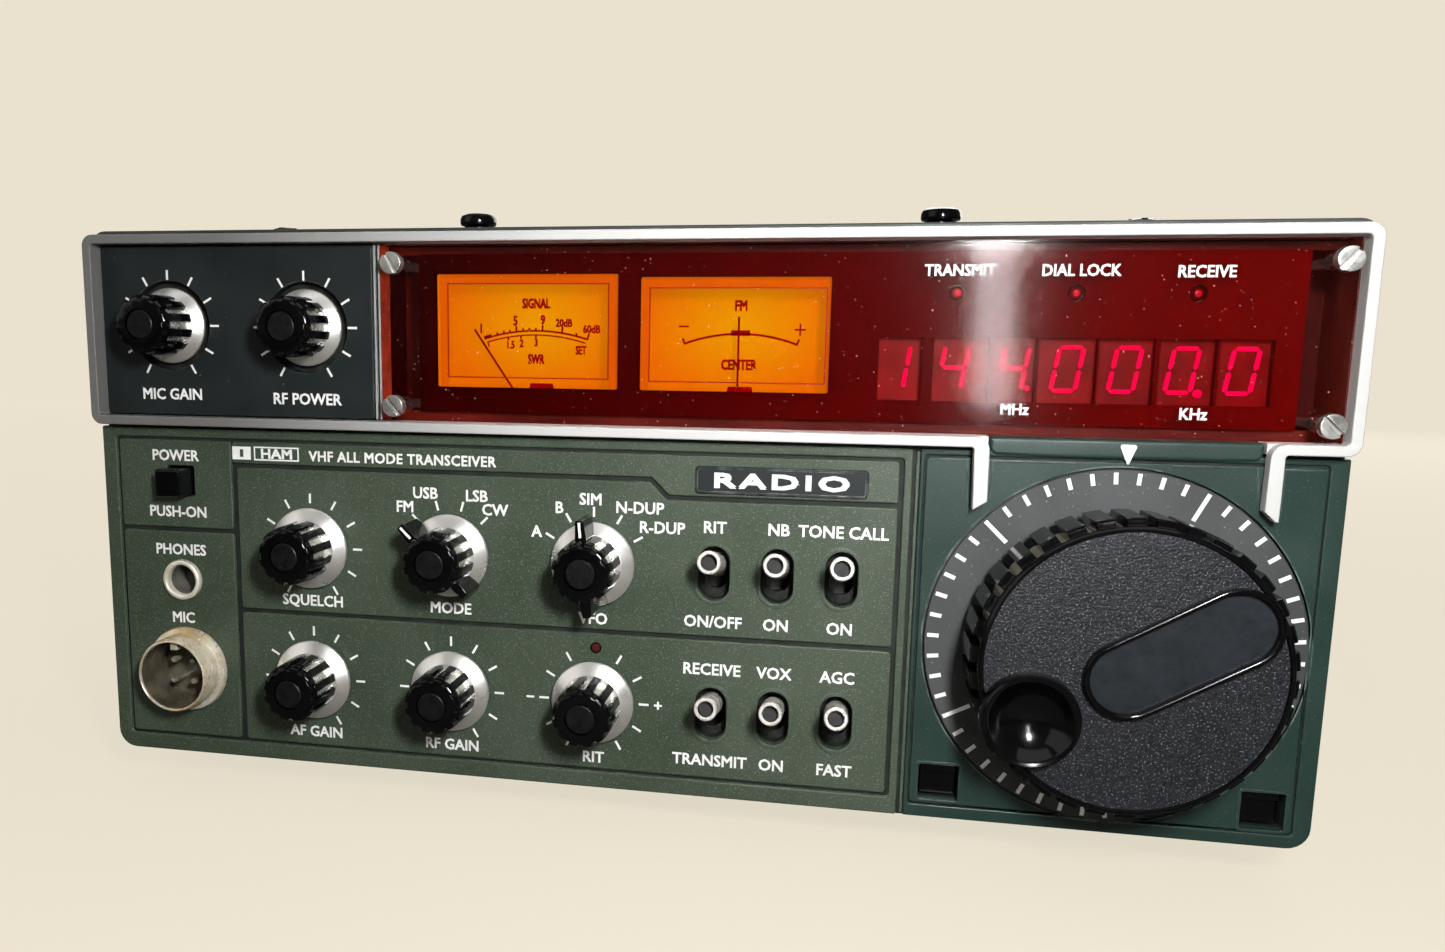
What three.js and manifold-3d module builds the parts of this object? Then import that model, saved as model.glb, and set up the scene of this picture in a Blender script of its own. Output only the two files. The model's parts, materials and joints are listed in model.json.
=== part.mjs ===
// A desktop all-mode VHF transceiver of the 1970s, as an assembly of separate named pieces.
// Millimetres. Inside the cabinet group x runs right, y runs from the printed front plane into
// the depth, and z runs up from the underside of the cabinet. The exported group moves that frame
// so that its origin is the centre of the whole box at the height of the surface it stands on.
import * as THREE from "three";
import { mergeVertices } from "three/addons/utils/BufferGeometryUtils.js";
import Module from "manifold-3d";

const wasm = await Module();
wasm.setup();

// Driving dimensions.
const HALF_WIDTH = 120.5; // half of the 241 mm wide cabinet
const TOP = 111.4; // height of the cabinet without feet
const DEPTH = 264; // bezel face to heat-sink fin tips
const BEZEL_PROUD = 2.9; // bezel face in front of the printed plane
const DIAL_PROUD = 18.6; // finger cup's rim in front of the printed plane
const FOOT_HEIGHT = 9;
const GAP = 0.3; // air between neighbouring pieces
const SHEET = 1.2; // thickness of the covers and the chassis
const PANEL = 4; // thickness of the front panel
const FRONT_Y = (DIAL_PROUD + BEZEL_PROUD - DEPTH) / 2;
const BACK = DEPTH - BEZEL_PROUD; // fin tips, behind the printed plane
const REAR_PANEL_Y = 243.5;
const REAR_FACE = REAR_PANEL_Y + 2 + GAP; // where what is fixed on the rear panel starts
const COVER_FRONT = PANEL + GAP;
const COVER_BACK = REAR_PANEL_Y + 2.5;
const SEAM = 40; // height where the two covers meet
const SHELF = 71.5; // height where the lower panel ends and the bezel begins

// The controls, each at its place on the printed plane.
const KNOBS = {
  squelch_knob: { x: -73, z: 47 },
  mode_knob: { x: -42.6, z: 46.9, pointer: 135 },
  vfo_knob: { x: -12.7, z: 46.6, pointer: 90 },
  af_gain_knob: { x: -73, z: 18.8 },
  rf_gain_knob: { x: -42.6, z: 18.5 },
  rit_knob: { x: -12.5, z: 18.3 },
};
const GAIN_KNOBS = {
  mic_gain_knob: { x: -103.4, z: 92.4 },
  rf_power_knob: { x: -73, z: 92.2 },
};
const GAIN_KNOB_SUNK = 1.8; // how far these two sit inside the holes of their panel
const TOGGLES = {
  rit_toggle: { x: 11.2, z: 45.7 },
  noise_blanker_toggle: { x: 23.4, z: 45.7 },
  tone_call_toggle: { x: 35.5, z: 45.7 },
  transmit_toggle: { x: 11.2, z: 17.4 },
  vox_toggle: { x: 23.4, z: 17.4 },
  agc_toggle: { x: 35.5, z: 17.4 },
};
const TOGGLE = {
  pivot: 8, // depth of the lever's axis
  length: 17.5,
  radius: 2.25,
  bore: 1.45,
  tilt: 10, // degrees above level at rest
  slotW: 6.2,
  slotH: 10.8,
};
const DIAL = {
  x: 84.1,
  z: 35.4,
  ring: 32.9, // radius of the scale ring
  face: 25, // radius of the knob's face
  teeth: 34,
  toothPhase: 81.6, // degrees to the middle of a tooth
  cupReach: 18.5, // from the axis to the middle of the finger cup
  cupAngle: 209.5,
};
const POWER = { x: -102.5, z: 60, w: 5.7, h: 5.8, proud: 5 };
const PHONES = { x: -103, z: 38.6, bore: 3.3 };
const MIC = { x: -102.5, z: 19.1, shell: 7.9, cavity: 6.7, proud: 6.8 };
const PUSH_BUTTONS = {
  left_push_button: { x: 55.2, z: 7.2 },
  right_push_button: { x: 112.1, z: 6.8 },
};
const PUSH = { w: 6.7, h: 6.3, hole: 0.4, sunk: 1.4 };
const SCREWS = [
  [-53.5, 104.8],
  [-53.5, 76.9],
  [116.2, 104.8],
  [116.2, 76.9],
];
const BEZEL = { half: 120.8, low: 71.8, high: 110.7, bar: 1.9, radius: 2.3 };
const WINDOW_LEFT = -56.4;
const METERS = {
  signal: { x: -27.35, needle: 22.6, rest: -34.2 },
  centre: { x: 13.95, needle: 21.6, rest: 0 },
};
const METER = { w: 36.4, low: 80.7, high: 102.5, pivotZ: 73.6, caseW: 40.2, back: 34 };
const DIGITS = { left: 40.5, right: 108.3, low: 79.6, high: 91.5, count: 7 };
const LEDS = [53.9, 73.9, 93.8].map((x) => ({ x, z: 99.2 }));
const HATCH = { x: 62, front: 48, back: 122, apertureX: 47, lip: 6 };
const PLUNGER = { x: 54.7, y: 56, top: 9.7, hole: 3.4 };
const SPEAKER = { x: 0, y: 190, radius: 33 };
const FOOT = { x: 95, front: 36, back: 222, radius: 10 };
const ANTENNA = { x: -96, z: 32, flangeW: 25.4, barrel: 7.9 };
const POWER_IN = { x: -62, z: 30, w: 34, h: 26 };
const FUSE = { x: -96, z: 72 };

const rad = THREE.MathUtils.degToRad;

// Materials, one per finish.
const finish = (color, roughness, metalness = 0) =>
  new THREE.MeshStandardMaterial({ color, roughness, metalness });
const PANEL_GREEN = finish(0x49554a, 0.6);
const SATIN_SILVER = finish(0xc4c4c0, 0.35, 0.8);
const BLACK_PLASTIC = finish(0x111214, 0.3);
const BLACK_PANEL = finish(0x25292b, 0.7);
const COVER_GREY = finish(0x2b2e2d, 0.6, 0.2);
const RED_WINDOW = finish(0x5a0805, 0.08);
const STEEL = finish(0x9b9a94, 0.3, 1);
const METER_ORANGE = finish(0xe28a10, 0.5);
const CIRCUIT_GREEN = finish(0x2c5a34, 0.6);
const RUBBER = finish(0x1a1a1a, 0.9);
const PLATED = finish(0xb9ab8a, 0.35, 0.9);
const RING_GREY = finish(0x5c6466, 0.55);

// Solids: closed geometries as manifold-3d bodies, and back.
function solid(geometry) {
  const bare = geometry.clone();
  bare.deleteAttribute("normal");
  bare.deleteAttribute("uv");
  const merged = mergeVertices(bare, 1e-4);
  return new wasm.Manifold(
    new wasm.Mesh({
      numProp: 3,
      vertProperties: merged.attributes.position.array,
      triVerts: new Uint32Array(merged.index.array),
    }),
  );
}

function geometryOf(body) {
  const mesh = body.getMesh();
  return new THREE.BufferGeometry()
    .setAttribute("position", new THREE.BufferAttribute(mesh.vertProperties, 3))
    .setIndex(new THREE.BufferAttribute(mesh.triVerts, 1));
}

function piece(name, body, material) {
  const mesh = new THREE.Mesh(geometryOf(body), material);
  mesh.name = name;
  return mesh;
}

const join = (bodies) => bodies.reduce((a, b) => a.add(b));
const cut = (body, tools) => tools.reduce((a, b) => a.subtract(b), body);

// A block between two corners.
function block([x0, y0, z0], [x1, y1, z1]) {
  return solid(
    new THREE.BoxGeometry(x1 - x0, y1 - y0, z1 - z0).translate(
      (x0 + x1) / 2,
      (y0 + y1) / 2,
      (z0 + z1) / 2,
    ),
  );
}

// A block centred on x and z, from y0 to y1.
const bar = (x, z, w, h, y0, y1) =>
  block([x - w / 2, y0, z - h / 2], [x + w / 2, y1, z + h / 2]);

// A drawn outline (x, z) extruded from y0 to y1.
function plate(outline, y0, y1, curveSegments = 6) {
  const geometry = new THREE.ExtrudeGeometry(outline, {
    depth: y1 - y0,
    bevelEnabled: false,
    curveSegments,
  });
  return solid(geometry.rotateX(Math.PI / 2).translate(0, y1, 0));
}

// A profile of [radius, y] points turned about an axis along y at (x, z).
function turned(profile, segments = 18, x = 0, z = 0) {
  const points = profile.map(([r, y]) => new THREE.Vector2(r, y));
  const make = (list) =>
    solid(new THREE.LatheGeometry(list, segments).translate(x, 0, z));
  const body = make(points);
  return body.volume() < 0 ? make(points.reverse()) : body;
}

const rod = (x, z, r, y0, y1, segments = 14) =>
  turned([[0, y0], [r, y0], [r, y1], [0, y1]], segments, x, z);

// The same turned profile standing up, about an axis along z at (x, y).
function upright(profile, segments, x, y) {
  const points = profile.map(([r, z]) => new THREE.Vector2(r, z));
  const make = (list) =>
    solid(new THREE.LatheGeometry(list, segments).rotateX(Math.PI / 2).translate(x, y, 0));
  const body = make(points);
  return body.volume() < 0 ? make(points.reverse()) : body;
}

function roundedRectangle(x0, z0, x1, z1, low, high = low) {
  const shape = new THREE.Shape();
  shape.moveTo(x0 + low, z0);
  shape.lineTo(x1 - low, z0);
  if (low) shape.absarc(x1 - low, z0 + low, low, -Math.PI / 2, 0);
  shape.lineTo(x1, z1 - high);
  if (high) shape.absarc(x1 - high, z1 - high, high, 0, Math.PI / 2);
  shape.lineTo(x0 + high, z1);
  if (high) shape.absarc(x0 + high, z1 - high, high, Math.PI / 2, Math.PI);
  shape.lineTo(x0, z0 + low);
  if (low) shape.absarc(x0 + low, z0 + low, low, Math.PI, 1.5 * Math.PI);
  return shape;
}

function stadium(x, z, w, h) {
  return roundedRectangle(x - w / 2, z - h / 2, x + w / 2, z + h / 2, w / 2 - 0.01);
}

function polygon(points) {
  return new THREE.Shape(points.map(([x, z]) => new THREE.Vector2(x, z)));
}

const AXIS = { x: 0, z: 0 }; // the centre of a piece that is turned before it is placed

// A point at a distance and an angle from a centre, in the front plane.
const polar = (centre, r, degrees) => [
  centre.x + r * Math.cos(rad(degrees)),
  centre.z + r * Math.sin(rad(degrees)),
];

// Cabinet: chassis, covers, rear.
function chassis() {
  const x = HALF_WIDTH - 4;
  const outer = block([-x, 24, 3], [x, REAR_PANEL_Y - GAP, 60]);
  const inner = block([SHEET - x, 20, 3 + SHEET], [x - SHEET, REAR_PANEL_Y + 1, 61]);
  return piece("chassis", outer.subtract(inner), STEEL);
}

// A sheet bent into a channel: top and both sides, or bottom and both sides.
function channel(z0, z1, roundTop) {
  const x = HALF_WIDTH - 0.3;
  const r = 3;
  const outer = roundTop
    ? roundedRectangle(-x, z0, x, z1, 0, r)
    : roundedRectangle(-x, z0, x, z1, r, 0);
  const inX = x - SHEET;
  const inner = roundTop
    ? roundedRectangle(-inX, z0 - 1, inX, z1 - SHEET, 0, r - SHEET)
    : roundedRectangle(-inX, z0 + SHEET, inX, z1 + 1, r - SHEET, 0);
  return plate(outer, COVER_FRONT, COVER_BACK).subtract(
    plate(inner, COVER_FRONT - 1, COVER_BACK + 1),
  );
}

// The clearance hole round one of the hatch's fasteners, between two heights.
function plungerHole(side, z0, z1) {
  const { x, y, hole } = PLUNGER;
  return upright([[0, z0], [hole, z0], [hole, z1], [0, z1]], 16, side * x, y);
}

function topCover() {
  const { apertureX, front, back, lip } = HATCH;
  const holes = [
    block([-apertureX, front + lip, TOP - 5], [apertureX, back - lip, TOP + 5]),
  ];
  for (const side of [-1, 1]) holes.push(plungerHole(side, TOP - 5, TOP + 5));
  const pitch = 5.4;
  const halfSlot = 1.1;
  for (let i = -5; i <= 5; i++) {
    const half = Math.sqrt(SPEAKER.radius ** 2 - (i * pitch) ** 2) - 2;
    const y = SPEAKER.y + i * pitch;
    holes.push(
      block(
        [SPEAKER.x - half, y - halfSlot, TOP - 5],
        [SPEAKER.x + half, y + halfSlot, TOP + 5],
      ),
    );
  }
  return piece("top_cover", cut(channel(SEAM, TOP, true), holes), COVER_GREY);
}

function bottomCover() {
  const slots = [];
  const pitch = 9;
  for (let i = 0; i < 9; i++) {
    const y = 90 + i * pitch;
    slots.push(block([-40, y, -1], [40, y + 3, SHEET + 1]));
  }
  return piece("bottom_cover", cut(channel(0, SEAM - GAP, false), slots), COVER_GREY);
}

function foot(name, x, y) {
  const { radius } = FOOT;
  const profile = [
    [0, -FOOT_HEIGHT],
    [radius - 1.5, -FOOT_HEIGHT],
    [radius, -1],
    [radius, -GAP],
    [0, -GAP],
  ];
  return piece(name, upright(profile, 20, x, y), RUBBER);
}

function rearPanel() {
  const x = HALF_WIDTH - 2.5;
  const [near, far] = [REAR_PANEL_Y - 1, REAR_PANEL_Y + 3];
  const holes = [
    rod(ANTENNA.x, ANTENNA.z, 8.4, near, far),
    rod(FUSE.x, FUSE.z, 6.3, near, far),
    bar(POWER_IN.x, POWER_IN.z, POWER_IN.w - 5, POWER_IN.h - 5, near, far),
  ];
  const sheet = block([-x, REAR_PANEL_Y, 2], [x, REAR_PANEL_Y + 2, TOP - 2]);
  return piece("rear_panel", cut(sheet, holes), COVER_GREY);
}

function rearHeatSink() {
  const [x0, x1, z0, z1] = [-36, 112, 22, 102];
  const base = REAR_FACE;
  const bodies = [block([x0, base, z0], [x1, base + 3.5, z1])];
  const fins = 15;
  for (let i = 0; i < fins; i++) {
    const x = x0 + ((x1 - x0 - 2) * i) / (fins - 1);
    bodies.push(block([x, base + 3, z0], [x + 2, BACK, z1]));
  }
  return piece("rear_heatsink", join(bodies), BLACK_PANEL);
}

function antennaConnector() {
  const { x, z, flangeW, barrel } = ANTENNA;
  const y = REAR_FACE;
  const flange = bar(x, z, flangeW, flangeW, y, y + 1.8);
  const profile = [
    [0, y - 12],
    [barrel, y - 12],
    [barrel, y + 14],
    [5.6, y + 14],
    [5.6, y + 11],
    [2.1, y + 11],
    [2.1, y],
    [0, y],
  ];
  return piece("antenna_connector", flange.add(turned(profile, 18, x, z)), PLATED);
}

function powerSocket() {
  const { x, z, w, h } = POWER_IN;
  const y = REAR_FACE;
  const flange = bar(x, z, w, h, y, y + 2.5);
  const well = bar(x, z, w - 6, h - 6, y - 18, y + 1);
  const cavity = bar(x, z, w - 9, h - 9, y - 15, y + 4);
  const pins = [-7, 0, 7].map((dx) => bar(x + dx, z, 2, 5, y - 16, y - 4));
  return piece("power_socket", join([flange.add(well).subtract(cavity), ...pins]), BLACK_PLASTIC);
}

function fuseHolder() {
  const y = REAR_FACE;
  const profile = [
    [0, y - 24],
    [5.8, y - 24],
    [5.8, y],
    [8, y],
    [8, y + 2],
    [6.5, y + 3],
    [6.2, y + 11],
    [0, y + 11],
  ];
  return piece("fuse_holder", turned(profile, 20, FUSE.x, FUSE.z), BLACK_PLASTIC);
}

// The front panel, with its grooves and the holes for every control.
const GROOVES = [
  // x0, z0, x1, z1 of each engraved line
  [-116.8, 3.6, 45.6, 4.1],
  [-116.8, 49.2, -90.2, 49.8],
  [-90.1, 4.8, -89.5, 68],
  [-89.5, 63.5, -1.4, 64.1],
  [1.7, 59.9, 45.3, 60.5],
  [-89.5, 32.4, 45.3, 33],
  [45.1, 3.9, 45.7, 68],
  [47.9, 3, 48.5, 69.3],
  [48.5, 3, 116.6, 3.5],
  [-117.2, 3.6, -116.6, 68.8],
];

function frontPanel() {
  const shelf = roundedRectangle(-HALF_WIDTH, 0, HALF_WIDTH, SHELF - GAP, 4, 0);
  const moulding = block([60.9, 0.5, SHELF - 1], [106.4, PANEL, BEZEL.low + BEZEL.bar]);
  const holes = Object.values(KNOBS).map(({ x, z }) => rod(x, z, 3.9, -1, PANEL + 1, 12));
  for (const { x, z } of Object.values(TOGGLES))
    holes.push(plate(stadium(x, z, TOGGLE.slotW, TOGGLE.slotH), -1, PANEL + 1, 3));
  for (const { x, z } of Object.values(PUSH_BUTTONS))
    holes.push(bar(x, z, PUSH.w + 2 * PUSH.hole, PUSH.h + 2 * PUSH.hole, -1, PANEL + 1));
  holes.push(
    bar(POWER.x, POWER.z, POWER.w + 0.8, POWER.h + 0.8, -1, PANEL + 1),
    rod(PHONES.x, PHONES.z, 4.3, -1, PANEL + 1),
    rod(MIC.x, MIC.z, MIC.shell + GAP + 0.2, -1, PANEL + 1, 20),
    rod(DIAL.x, DIAL.z, 6.5, -1, PANEL + 1, 18),
    rod(DIAL.x, DIAL.z, DIAL.ring + 0.6, -1, 1.05, 48),
  );
  for (const [x0, z0, x1, z1] of GROOVES) holes.push(block([x0, -1, z0], [x1, 0.4, z1]));
  const slant = polygon([[-1.5, 64.1], [-1.5, 63.5], [1.8, 59.9], [1.8, 60.5]]);
  holes.push(plate(slant, -1, 0.4));
  return piece("front_panel", cut(plate(shelf, 0, PANEL).add(moulding), holes), PANEL_GREEN);
}

// The silver frame round the upper section, with two legs that reach down beside the dial.
function bezelFrame() {
  const { half, low, high, bar: edge, radius } = BEZEL;
  const outline = roundedRectangle(-half, low, half, high, radius);
  outline.holes.push(roundedRectangle(-half + edge, low + edge, half - edge, high - edge, 0.8));
  const opening = block([60.5, -5, low - 1], [106.8, PANEL + 1, low + edge + 0.2]);
  const top = low + 1;
  const left = polygon([[57.9, top], [60.5, top], [60.7, 62], [58.2, 60.4]]);
  const right = polygon([[106.8, top], [109.1, top], [109, 60.2], [108.4, 60.2], [106.6, 62]]);
  const legs = [left, right].map((leg) => plate(leg, -BEZEL_PROUD, -GAP));
  const frame = plate(outline, -BEZEL_PROUD, PANEL).subtract(opening);
  return piece("bezel_frame", join([frame, ...legs]), SATIN_SILVER);
}

const UPPER = { low: BEZEL.low + BEZEL.bar + GAP, high: BEZEL.high - BEZEL.bar - GAP };
const UPPER_SIDE = BEZEL.half - BEZEL.bar - GAP;

function gainPanel() {
  const holes = Object.values(GAIN_KNOBS).map(({ x, z }) => rod(x, z, 9.1, -1, 4, 24));
  const sheet = block([-UPPER_SIDE, 0, UPPER.low], [WINDOW_LEFT - GAP, 2.5, UPPER.high]);
  return piece("gain_panel", cut(sheet, holes), BLACK_PANEL);
}

function displayWindow() {
  const holes = SCREWS.map(([x, z]) => rod(x, z, 1.8, -1, 4, 16));
  const sheet = block([WINDOW_LEFT, -0.2, UPPER.low], [UPPER_SIDE, 2.8, UPPER.high]);
  return piece("display_window", cut(sheet, holes), RED_WINDOW);
}

function windowScrew(name, [x, z]) {
  const head = rod(x, z, 2.15, -2.4, -0.2 - GAP, 14);
  const slot = bar(x, z, 5, 0.7, -3, -1.9);
  const shank = rod(x, z, 1.4, -1, 13, 8);
  return piece(name, head.subtract(slot).add(shank), STEEL);
}

// Behind the window: mask, meters and their needles, digits.
function displayMask() {
  const apertures = Object.values(METERS).map(({ x }) =>
    bar(x, (METER.low + METER.high) / 2, METER.w, METER.high - METER.low, 3, 7),
  );
  apertures.push(block([DIGITS.left, 3, DIGITS.low], [DIGITS.right, 7, DIGITS.high]));
  for (const { x, z } of LEDS) apertures.push(rod(x, z, 1.8, 3, 7, 14));
  const sheet = block([-50, 4.2, 75.6], [112.6, 5.6, 107]);
  return piece("display_mask", cut(sheet, apertures), BLACK_PANEL);
}

function meter(name, { x }) {
  const { caseW, back, pivotZ } = METER;
  const housing = block([x - caseW / 2, 6, 69.6], [x + caseW / 2, back, 104.6]);
  const well = block([x - caseW / 2 + 1.4, 5, 70.6], [x + caseW / 2 - 1.4, 12, 103.4]);
  const boss = rod(x, pivotZ, 1.6, 11, 12.5, 12);
  return piece(name, housing.subtract(well).add(boss), METER_ORANGE);
}

function needle(name, { x, needle: length, rest }) {
  const z = METER.pivotZ;
  const hub = turned([[0, 8.4], [1.5, 8.4], [1.5, 10.6], [0, 10.6]], 12);
  const pointer = block([-0.25, 9, -2.2], [0.25, 9.5, length]);
  const mesh = piece(name, hub.add(pointer), BLACK_PLASTIC);
  mesh.position.set(x, 0, z);
  mesh.rotation.y = rad(rest);
  return mesh;
}

function displayBoard() {
  const { left, right, low, high, count } = DIGITS;
  const bodies = [block([38, 8, 76], [111.5, 9.6, 103])];
  const pitch = (right - left) / count;
  for (let i = 0; i < count; i++)
    bodies.push(
      bar(left + pitch * (i + 0.5), (low + high) / 2, pitch - 0.8, high - low - 0.6, 5.9, 8.5),
    );
  for (const { x, z } of LEDS) bodies.push(rod(x, z, 1.4, 4.6, 8.5, 12));
  return piece("display_board", join(bodies), CIRCUIT_GREEN);
}

// Controls behind the panels: potentiometers and rotary switches on their brackets.
function potBank(name, knobs, [x0, x1, z0, z1], y) {
  const bracket = block([x0, y, z0], [x1, y + SHEET, z1]);
  const pots = Object.values(knobs).map(({ x, z }) => rod(x, z, 8, y + 0.5, y + 11, 12));
  const bores = Object.values(knobs).map(({ x, z }) => rod(x, z, 3.6, y - 1, y + 9.5, 10));
  return piece(name, cut(join([bracket, ...pots]), bores), STEEL);
}

function toggleBank() {
  const y = 5;
  const spots = Object.values(TOGGLES);
  const bracket = block([4.4, y, 7], [43.8, y + SHEET, 56]);
  const cases = spots.map(({ x, z }) => bar(x, z, 9, 14, y + 0.5, y + 14));
  const wells = spots.map(({ x, z }) => bar(x, z, 6.4, 10.8, y - 1, y + 8));
  return piece("toggle_bank", cut(join([bracket, ...cases]), wells), STEEL);
}

// A pointer knob's fin, which narrows from its root out to its tip.
function fin(angle, reach) {
  const corner = (r, half) => {
    const [x, z] = polar(AXIS, r, angle);
    const [ax, az] = polar(AXIS, half, angle + 90);
    return [x + ax, z + az];
  };
  const outline = polygon([corner(4, -1.3), corner(reach, -0.8), corner(reach, 0.8), corner(4, 1.3)]);
  return plate(outline, -11, -1.4);
}

// A control knob: skirt, tapered collar, ribbed grip and the shaft behind it.
function knob(name, { x, z, pointer }, y) {
  const profile = [
    [0, 11],
    [3, 11],
    [3, -1],
    [8.4, -1],
    [8.4, -1.7],
    [6.9, -4.6],
    [5.4, -4.8],
    [5.4, -11.9],
    [0, -11.9],
  ];
  const outline = [];
  const rib = [[5.2, -9], [6.1, -7], [6.1, 7], [5.2, 9]];
  for (let i = 0; i < 12; i++)
    for (const [r, offset] of rib) outline.push(polar(AXIS, r, i * 30 + offset));
  const bodies = [turned(profile, 16), plate(polygon(outline), -11.6, -3.6)];
  if (pointer !== undefined) bodies.push(fin(pointer, 9.9), fin(pointer + 180, 9));
  const mesh = piece(name, join(bodies), BLACK_PLASTIC);
  mesh.position.set(x, y, z);
  return mesh;
}

function toggleLever(name, { x, z }) {
  const { pivot, length, radius, bore, tilt } = TOGGLE;
  const profile = [
    [0, 2.4],
    [1.6, 2.2],
    [2.5, 0.4],
    [2.5, -1],
    [1.7, -3],
    [radius, -6.5],
    [radius, -length],
    [bore, -length],
    [bore, 4 - length],
    [0, 4 - length],
  ];
  const mesh = piece(name, turned(profile, 12), SATIN_SILVER);
  mesh.position.set(x, pivot, z);
  mesh.rotation.x = rad(-tilt);
  return mesh;
}

function powerButton() {
  const { x, z, w, h, proud } = POWER;
  const cap = bar(x, z, w, h, -proud, 9);
  const stem = bar(x, z, 2.5, 2.5, 8, 16);
  return piece("power_button", cap.add(stem), BLACK_PLASTIC);
}

function pushButton(name, { x, z }) {
  const cap = bar(x, z, PUSH.w, PUSH.h, PUSH.sunk, 8);
  return piece(name, cap.add(bar(x, z, 2.4, 2.4, 7, 15)), BLACK_PLASTIC);
}

function phonesJack() {
  const { x, z, bore } = PHONES;
  const profile = [
    [0, 28],
    [5.4, 28],
    [5.4, 4.6],
    [3.9, 4.6],
    [3.9, -GAP],
    [4.4, -GAP],
    [4.3, -1],
    [bore, -1],
    [bore, 26],
    [0, 26],
  ];
  return piece("phones_jack", turned(profile, 24, x, z), SATIN_SILVER);
}

function micSocket() {
  const { x, z, shell, cavity, proud } = MIC;
  const profile = [
    [0, 12],
    [shell, 12],
    [shell, 6.6],
    [9.6, 6.6],
    [9.6, PANEL + GAP],
    [shell, PANEL + GAP],
    [shell, -GAP],
    [8.9, -GAP],
    [8.7, -1.2],
    [shell, -1.6],
    [shell - 0.4, -proud],
    [cavity, -proud],
    [cavity, 3],
    [0, 3],
  ];
  const pins = [45, 135, 225, 315].map((angle) => {
    const [px, pz] = polar({ x, z }, 3.2, angle);
    return rod(px, pz, 0.85, -1.8, 3.5, 8);
  });
  const key = bar(x, z + 6.2, 1.6, 1.6, -5.5, 3.5);
  return piece("mic_socket", join([turned(profile, 20, x, z), ...pins, key]), PLATED);
}

// The tuning dial: toothed knob with a finger cup, scale ring, shaft with encoder disc.
function mainDial() {
  const { face, teeth, toothPhase, cupReach, cupAngle } = DIAL;
  const drum = [
    [0, -4.5],
    [3.5, -4.5],
    [3.5, -0.5],
    [12, -0.5],
    [12, -2.4],
    [24.2, -2.4],
    [24.2, -15.2],
    [face, -15.2],
    [face, -16],
    [24.5, -16.5],
    [0, -16.5],
  ];
  const bodies = [turned(drum, 34)];
  const corners = [[23.6, -3.4], [26.4, -3], [26.4, 3], [23.6, 3.4]];
  for (let i = 0; i < teeth; i++) {
    const angle = toothPhase + (i * 360) / teeth;
    const tooth = corners.map(([r, a]) => polar(AXIS, r, angle + a));
    bodies.push(plate(polygon(tooth), -15, -3.2));
  }
  const [cupX, cupZ] = polar(AXIS, cupReach, cupAngle);
  const cup = [
    [0, -10],
    [8, -10],
    [8.4, -16],
    [8, -DIAL_PROUD],
    [7.2, -DIAL_PROUD],
    [5.6, -16.6],
    [3, -15.4],
    [0, -15],
  ];
  const drumWithRoom = join(bodies).subtract(rod(cupX, cupZ, 8.2, -20, -10.5, 18));
  const dial = drumWithRoom.add(turned(cup, 18, cupX, cupZ)).add(gripBar());
  const mesh = piece("main_dial", dial, BLACK_PLASTIC);
  mesh.position.set(DIAL.x, 0, DIAL.z);
  return mesh;
}

// The raised bar on the dial's face, from near the centre out to the rim.
function gripBar() {
  const half = 6.9;
  const shape = roundedRectangle(-8.5, -half, 24.6, half, half - 0.05);
  const pocket = roundedRectangle(-7.4, 1.1 - half, 23.5, half - 1.1, half - 1.2);
  const angle = rad(30);
  const turnedPlate = (outline, depth, y) => {
    const options = { depth, bevelEnabled: false, curveSegments: 5 };
    const geometry = new THREE.ExtrudeGeometry(outline, options);
    return solid(geometry.rotateZ(angle).rotateX(Math.PI / 2).translate(0, y, 0));
  };
  const disc = rod(0, 0, DIAL.face, -18, -15, 34);
  return turnedPlate(shape, 1.6, -16.2).subtract(turnedPlate(pocket, 2, -17.1)).intersect(disc);
}

function dialRing() {
  const [front, rear, inner] = [-0.15, 0.75, 8];
  const profile = [[inner, front], [DIAL.ring, front], [DIAL.ring, rear], [inner, rear], [inner, front]];
  const mesh = piece("dial_ring", turned(profile, 48), RING_GREY);
  mesh.position.set(DIAL.x, 0, DIAL.z);
  return mesh;
}

function dialShaft() {
  const disc = 17; // radius of the slotted disc that the tuning circuit reads
  const profile = [[0, -4], [3, -4], [3, 30], [disc, 30], [disc, 31], [3, 31], [3, 36], [0, 36]];
  const mesh = piece("dial_shaft", turned(profile, 24), STEEL);
  mesh.position.set(DIAL.x, 0, DIAL.z);
  return mesh;
}

function dialBushing() {
  const bore = 3.5;
  const profile = [
    [bore, 1.4],
    [6, 1.4],
    [6, PANEL + GAP],
    [14, PANEL + GAP],
    [14, 7],
    [6, 7],
    [6, 22],
    [bore, 22],
    [bore, 1.4],
  ];
  const mesh = piece("dial_bushing", turned(profile, 24), STEEL);
  mesh.position.set(DIAL.x, 0, DIAL.z);
  return mesh;
}

// Top hatch over the adjusting controls, with its two push-pull fasteners.
function accessHatch() {
  const { x, front, back, apertureX, lip } = HATCH;
  const z = TOP + GAP;
  const lid = block([-x, front, z], [x, back, z + SHEET]);
  const rimX = apertureX - 1;
  const [rimFront, rimBack] = [front + lip + 1, back - lip - 1];
  const rim = block([-rimX, rimFront, z - 3], [rimX, rimBack, z + 0.5]);
  const hollow = block([SHEET - rimX, rimFront + SHEET, z - 4], [rimX - SHEET, rimBack - SHEET, z]);
  const holes = [-1, 1].map((side) => plungerHole(side, z - 2, z + 4));
  return piece("access_hatch", cut(lid.add(rim.subtract(hollow)), holes), COVER_GREY);
}

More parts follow.
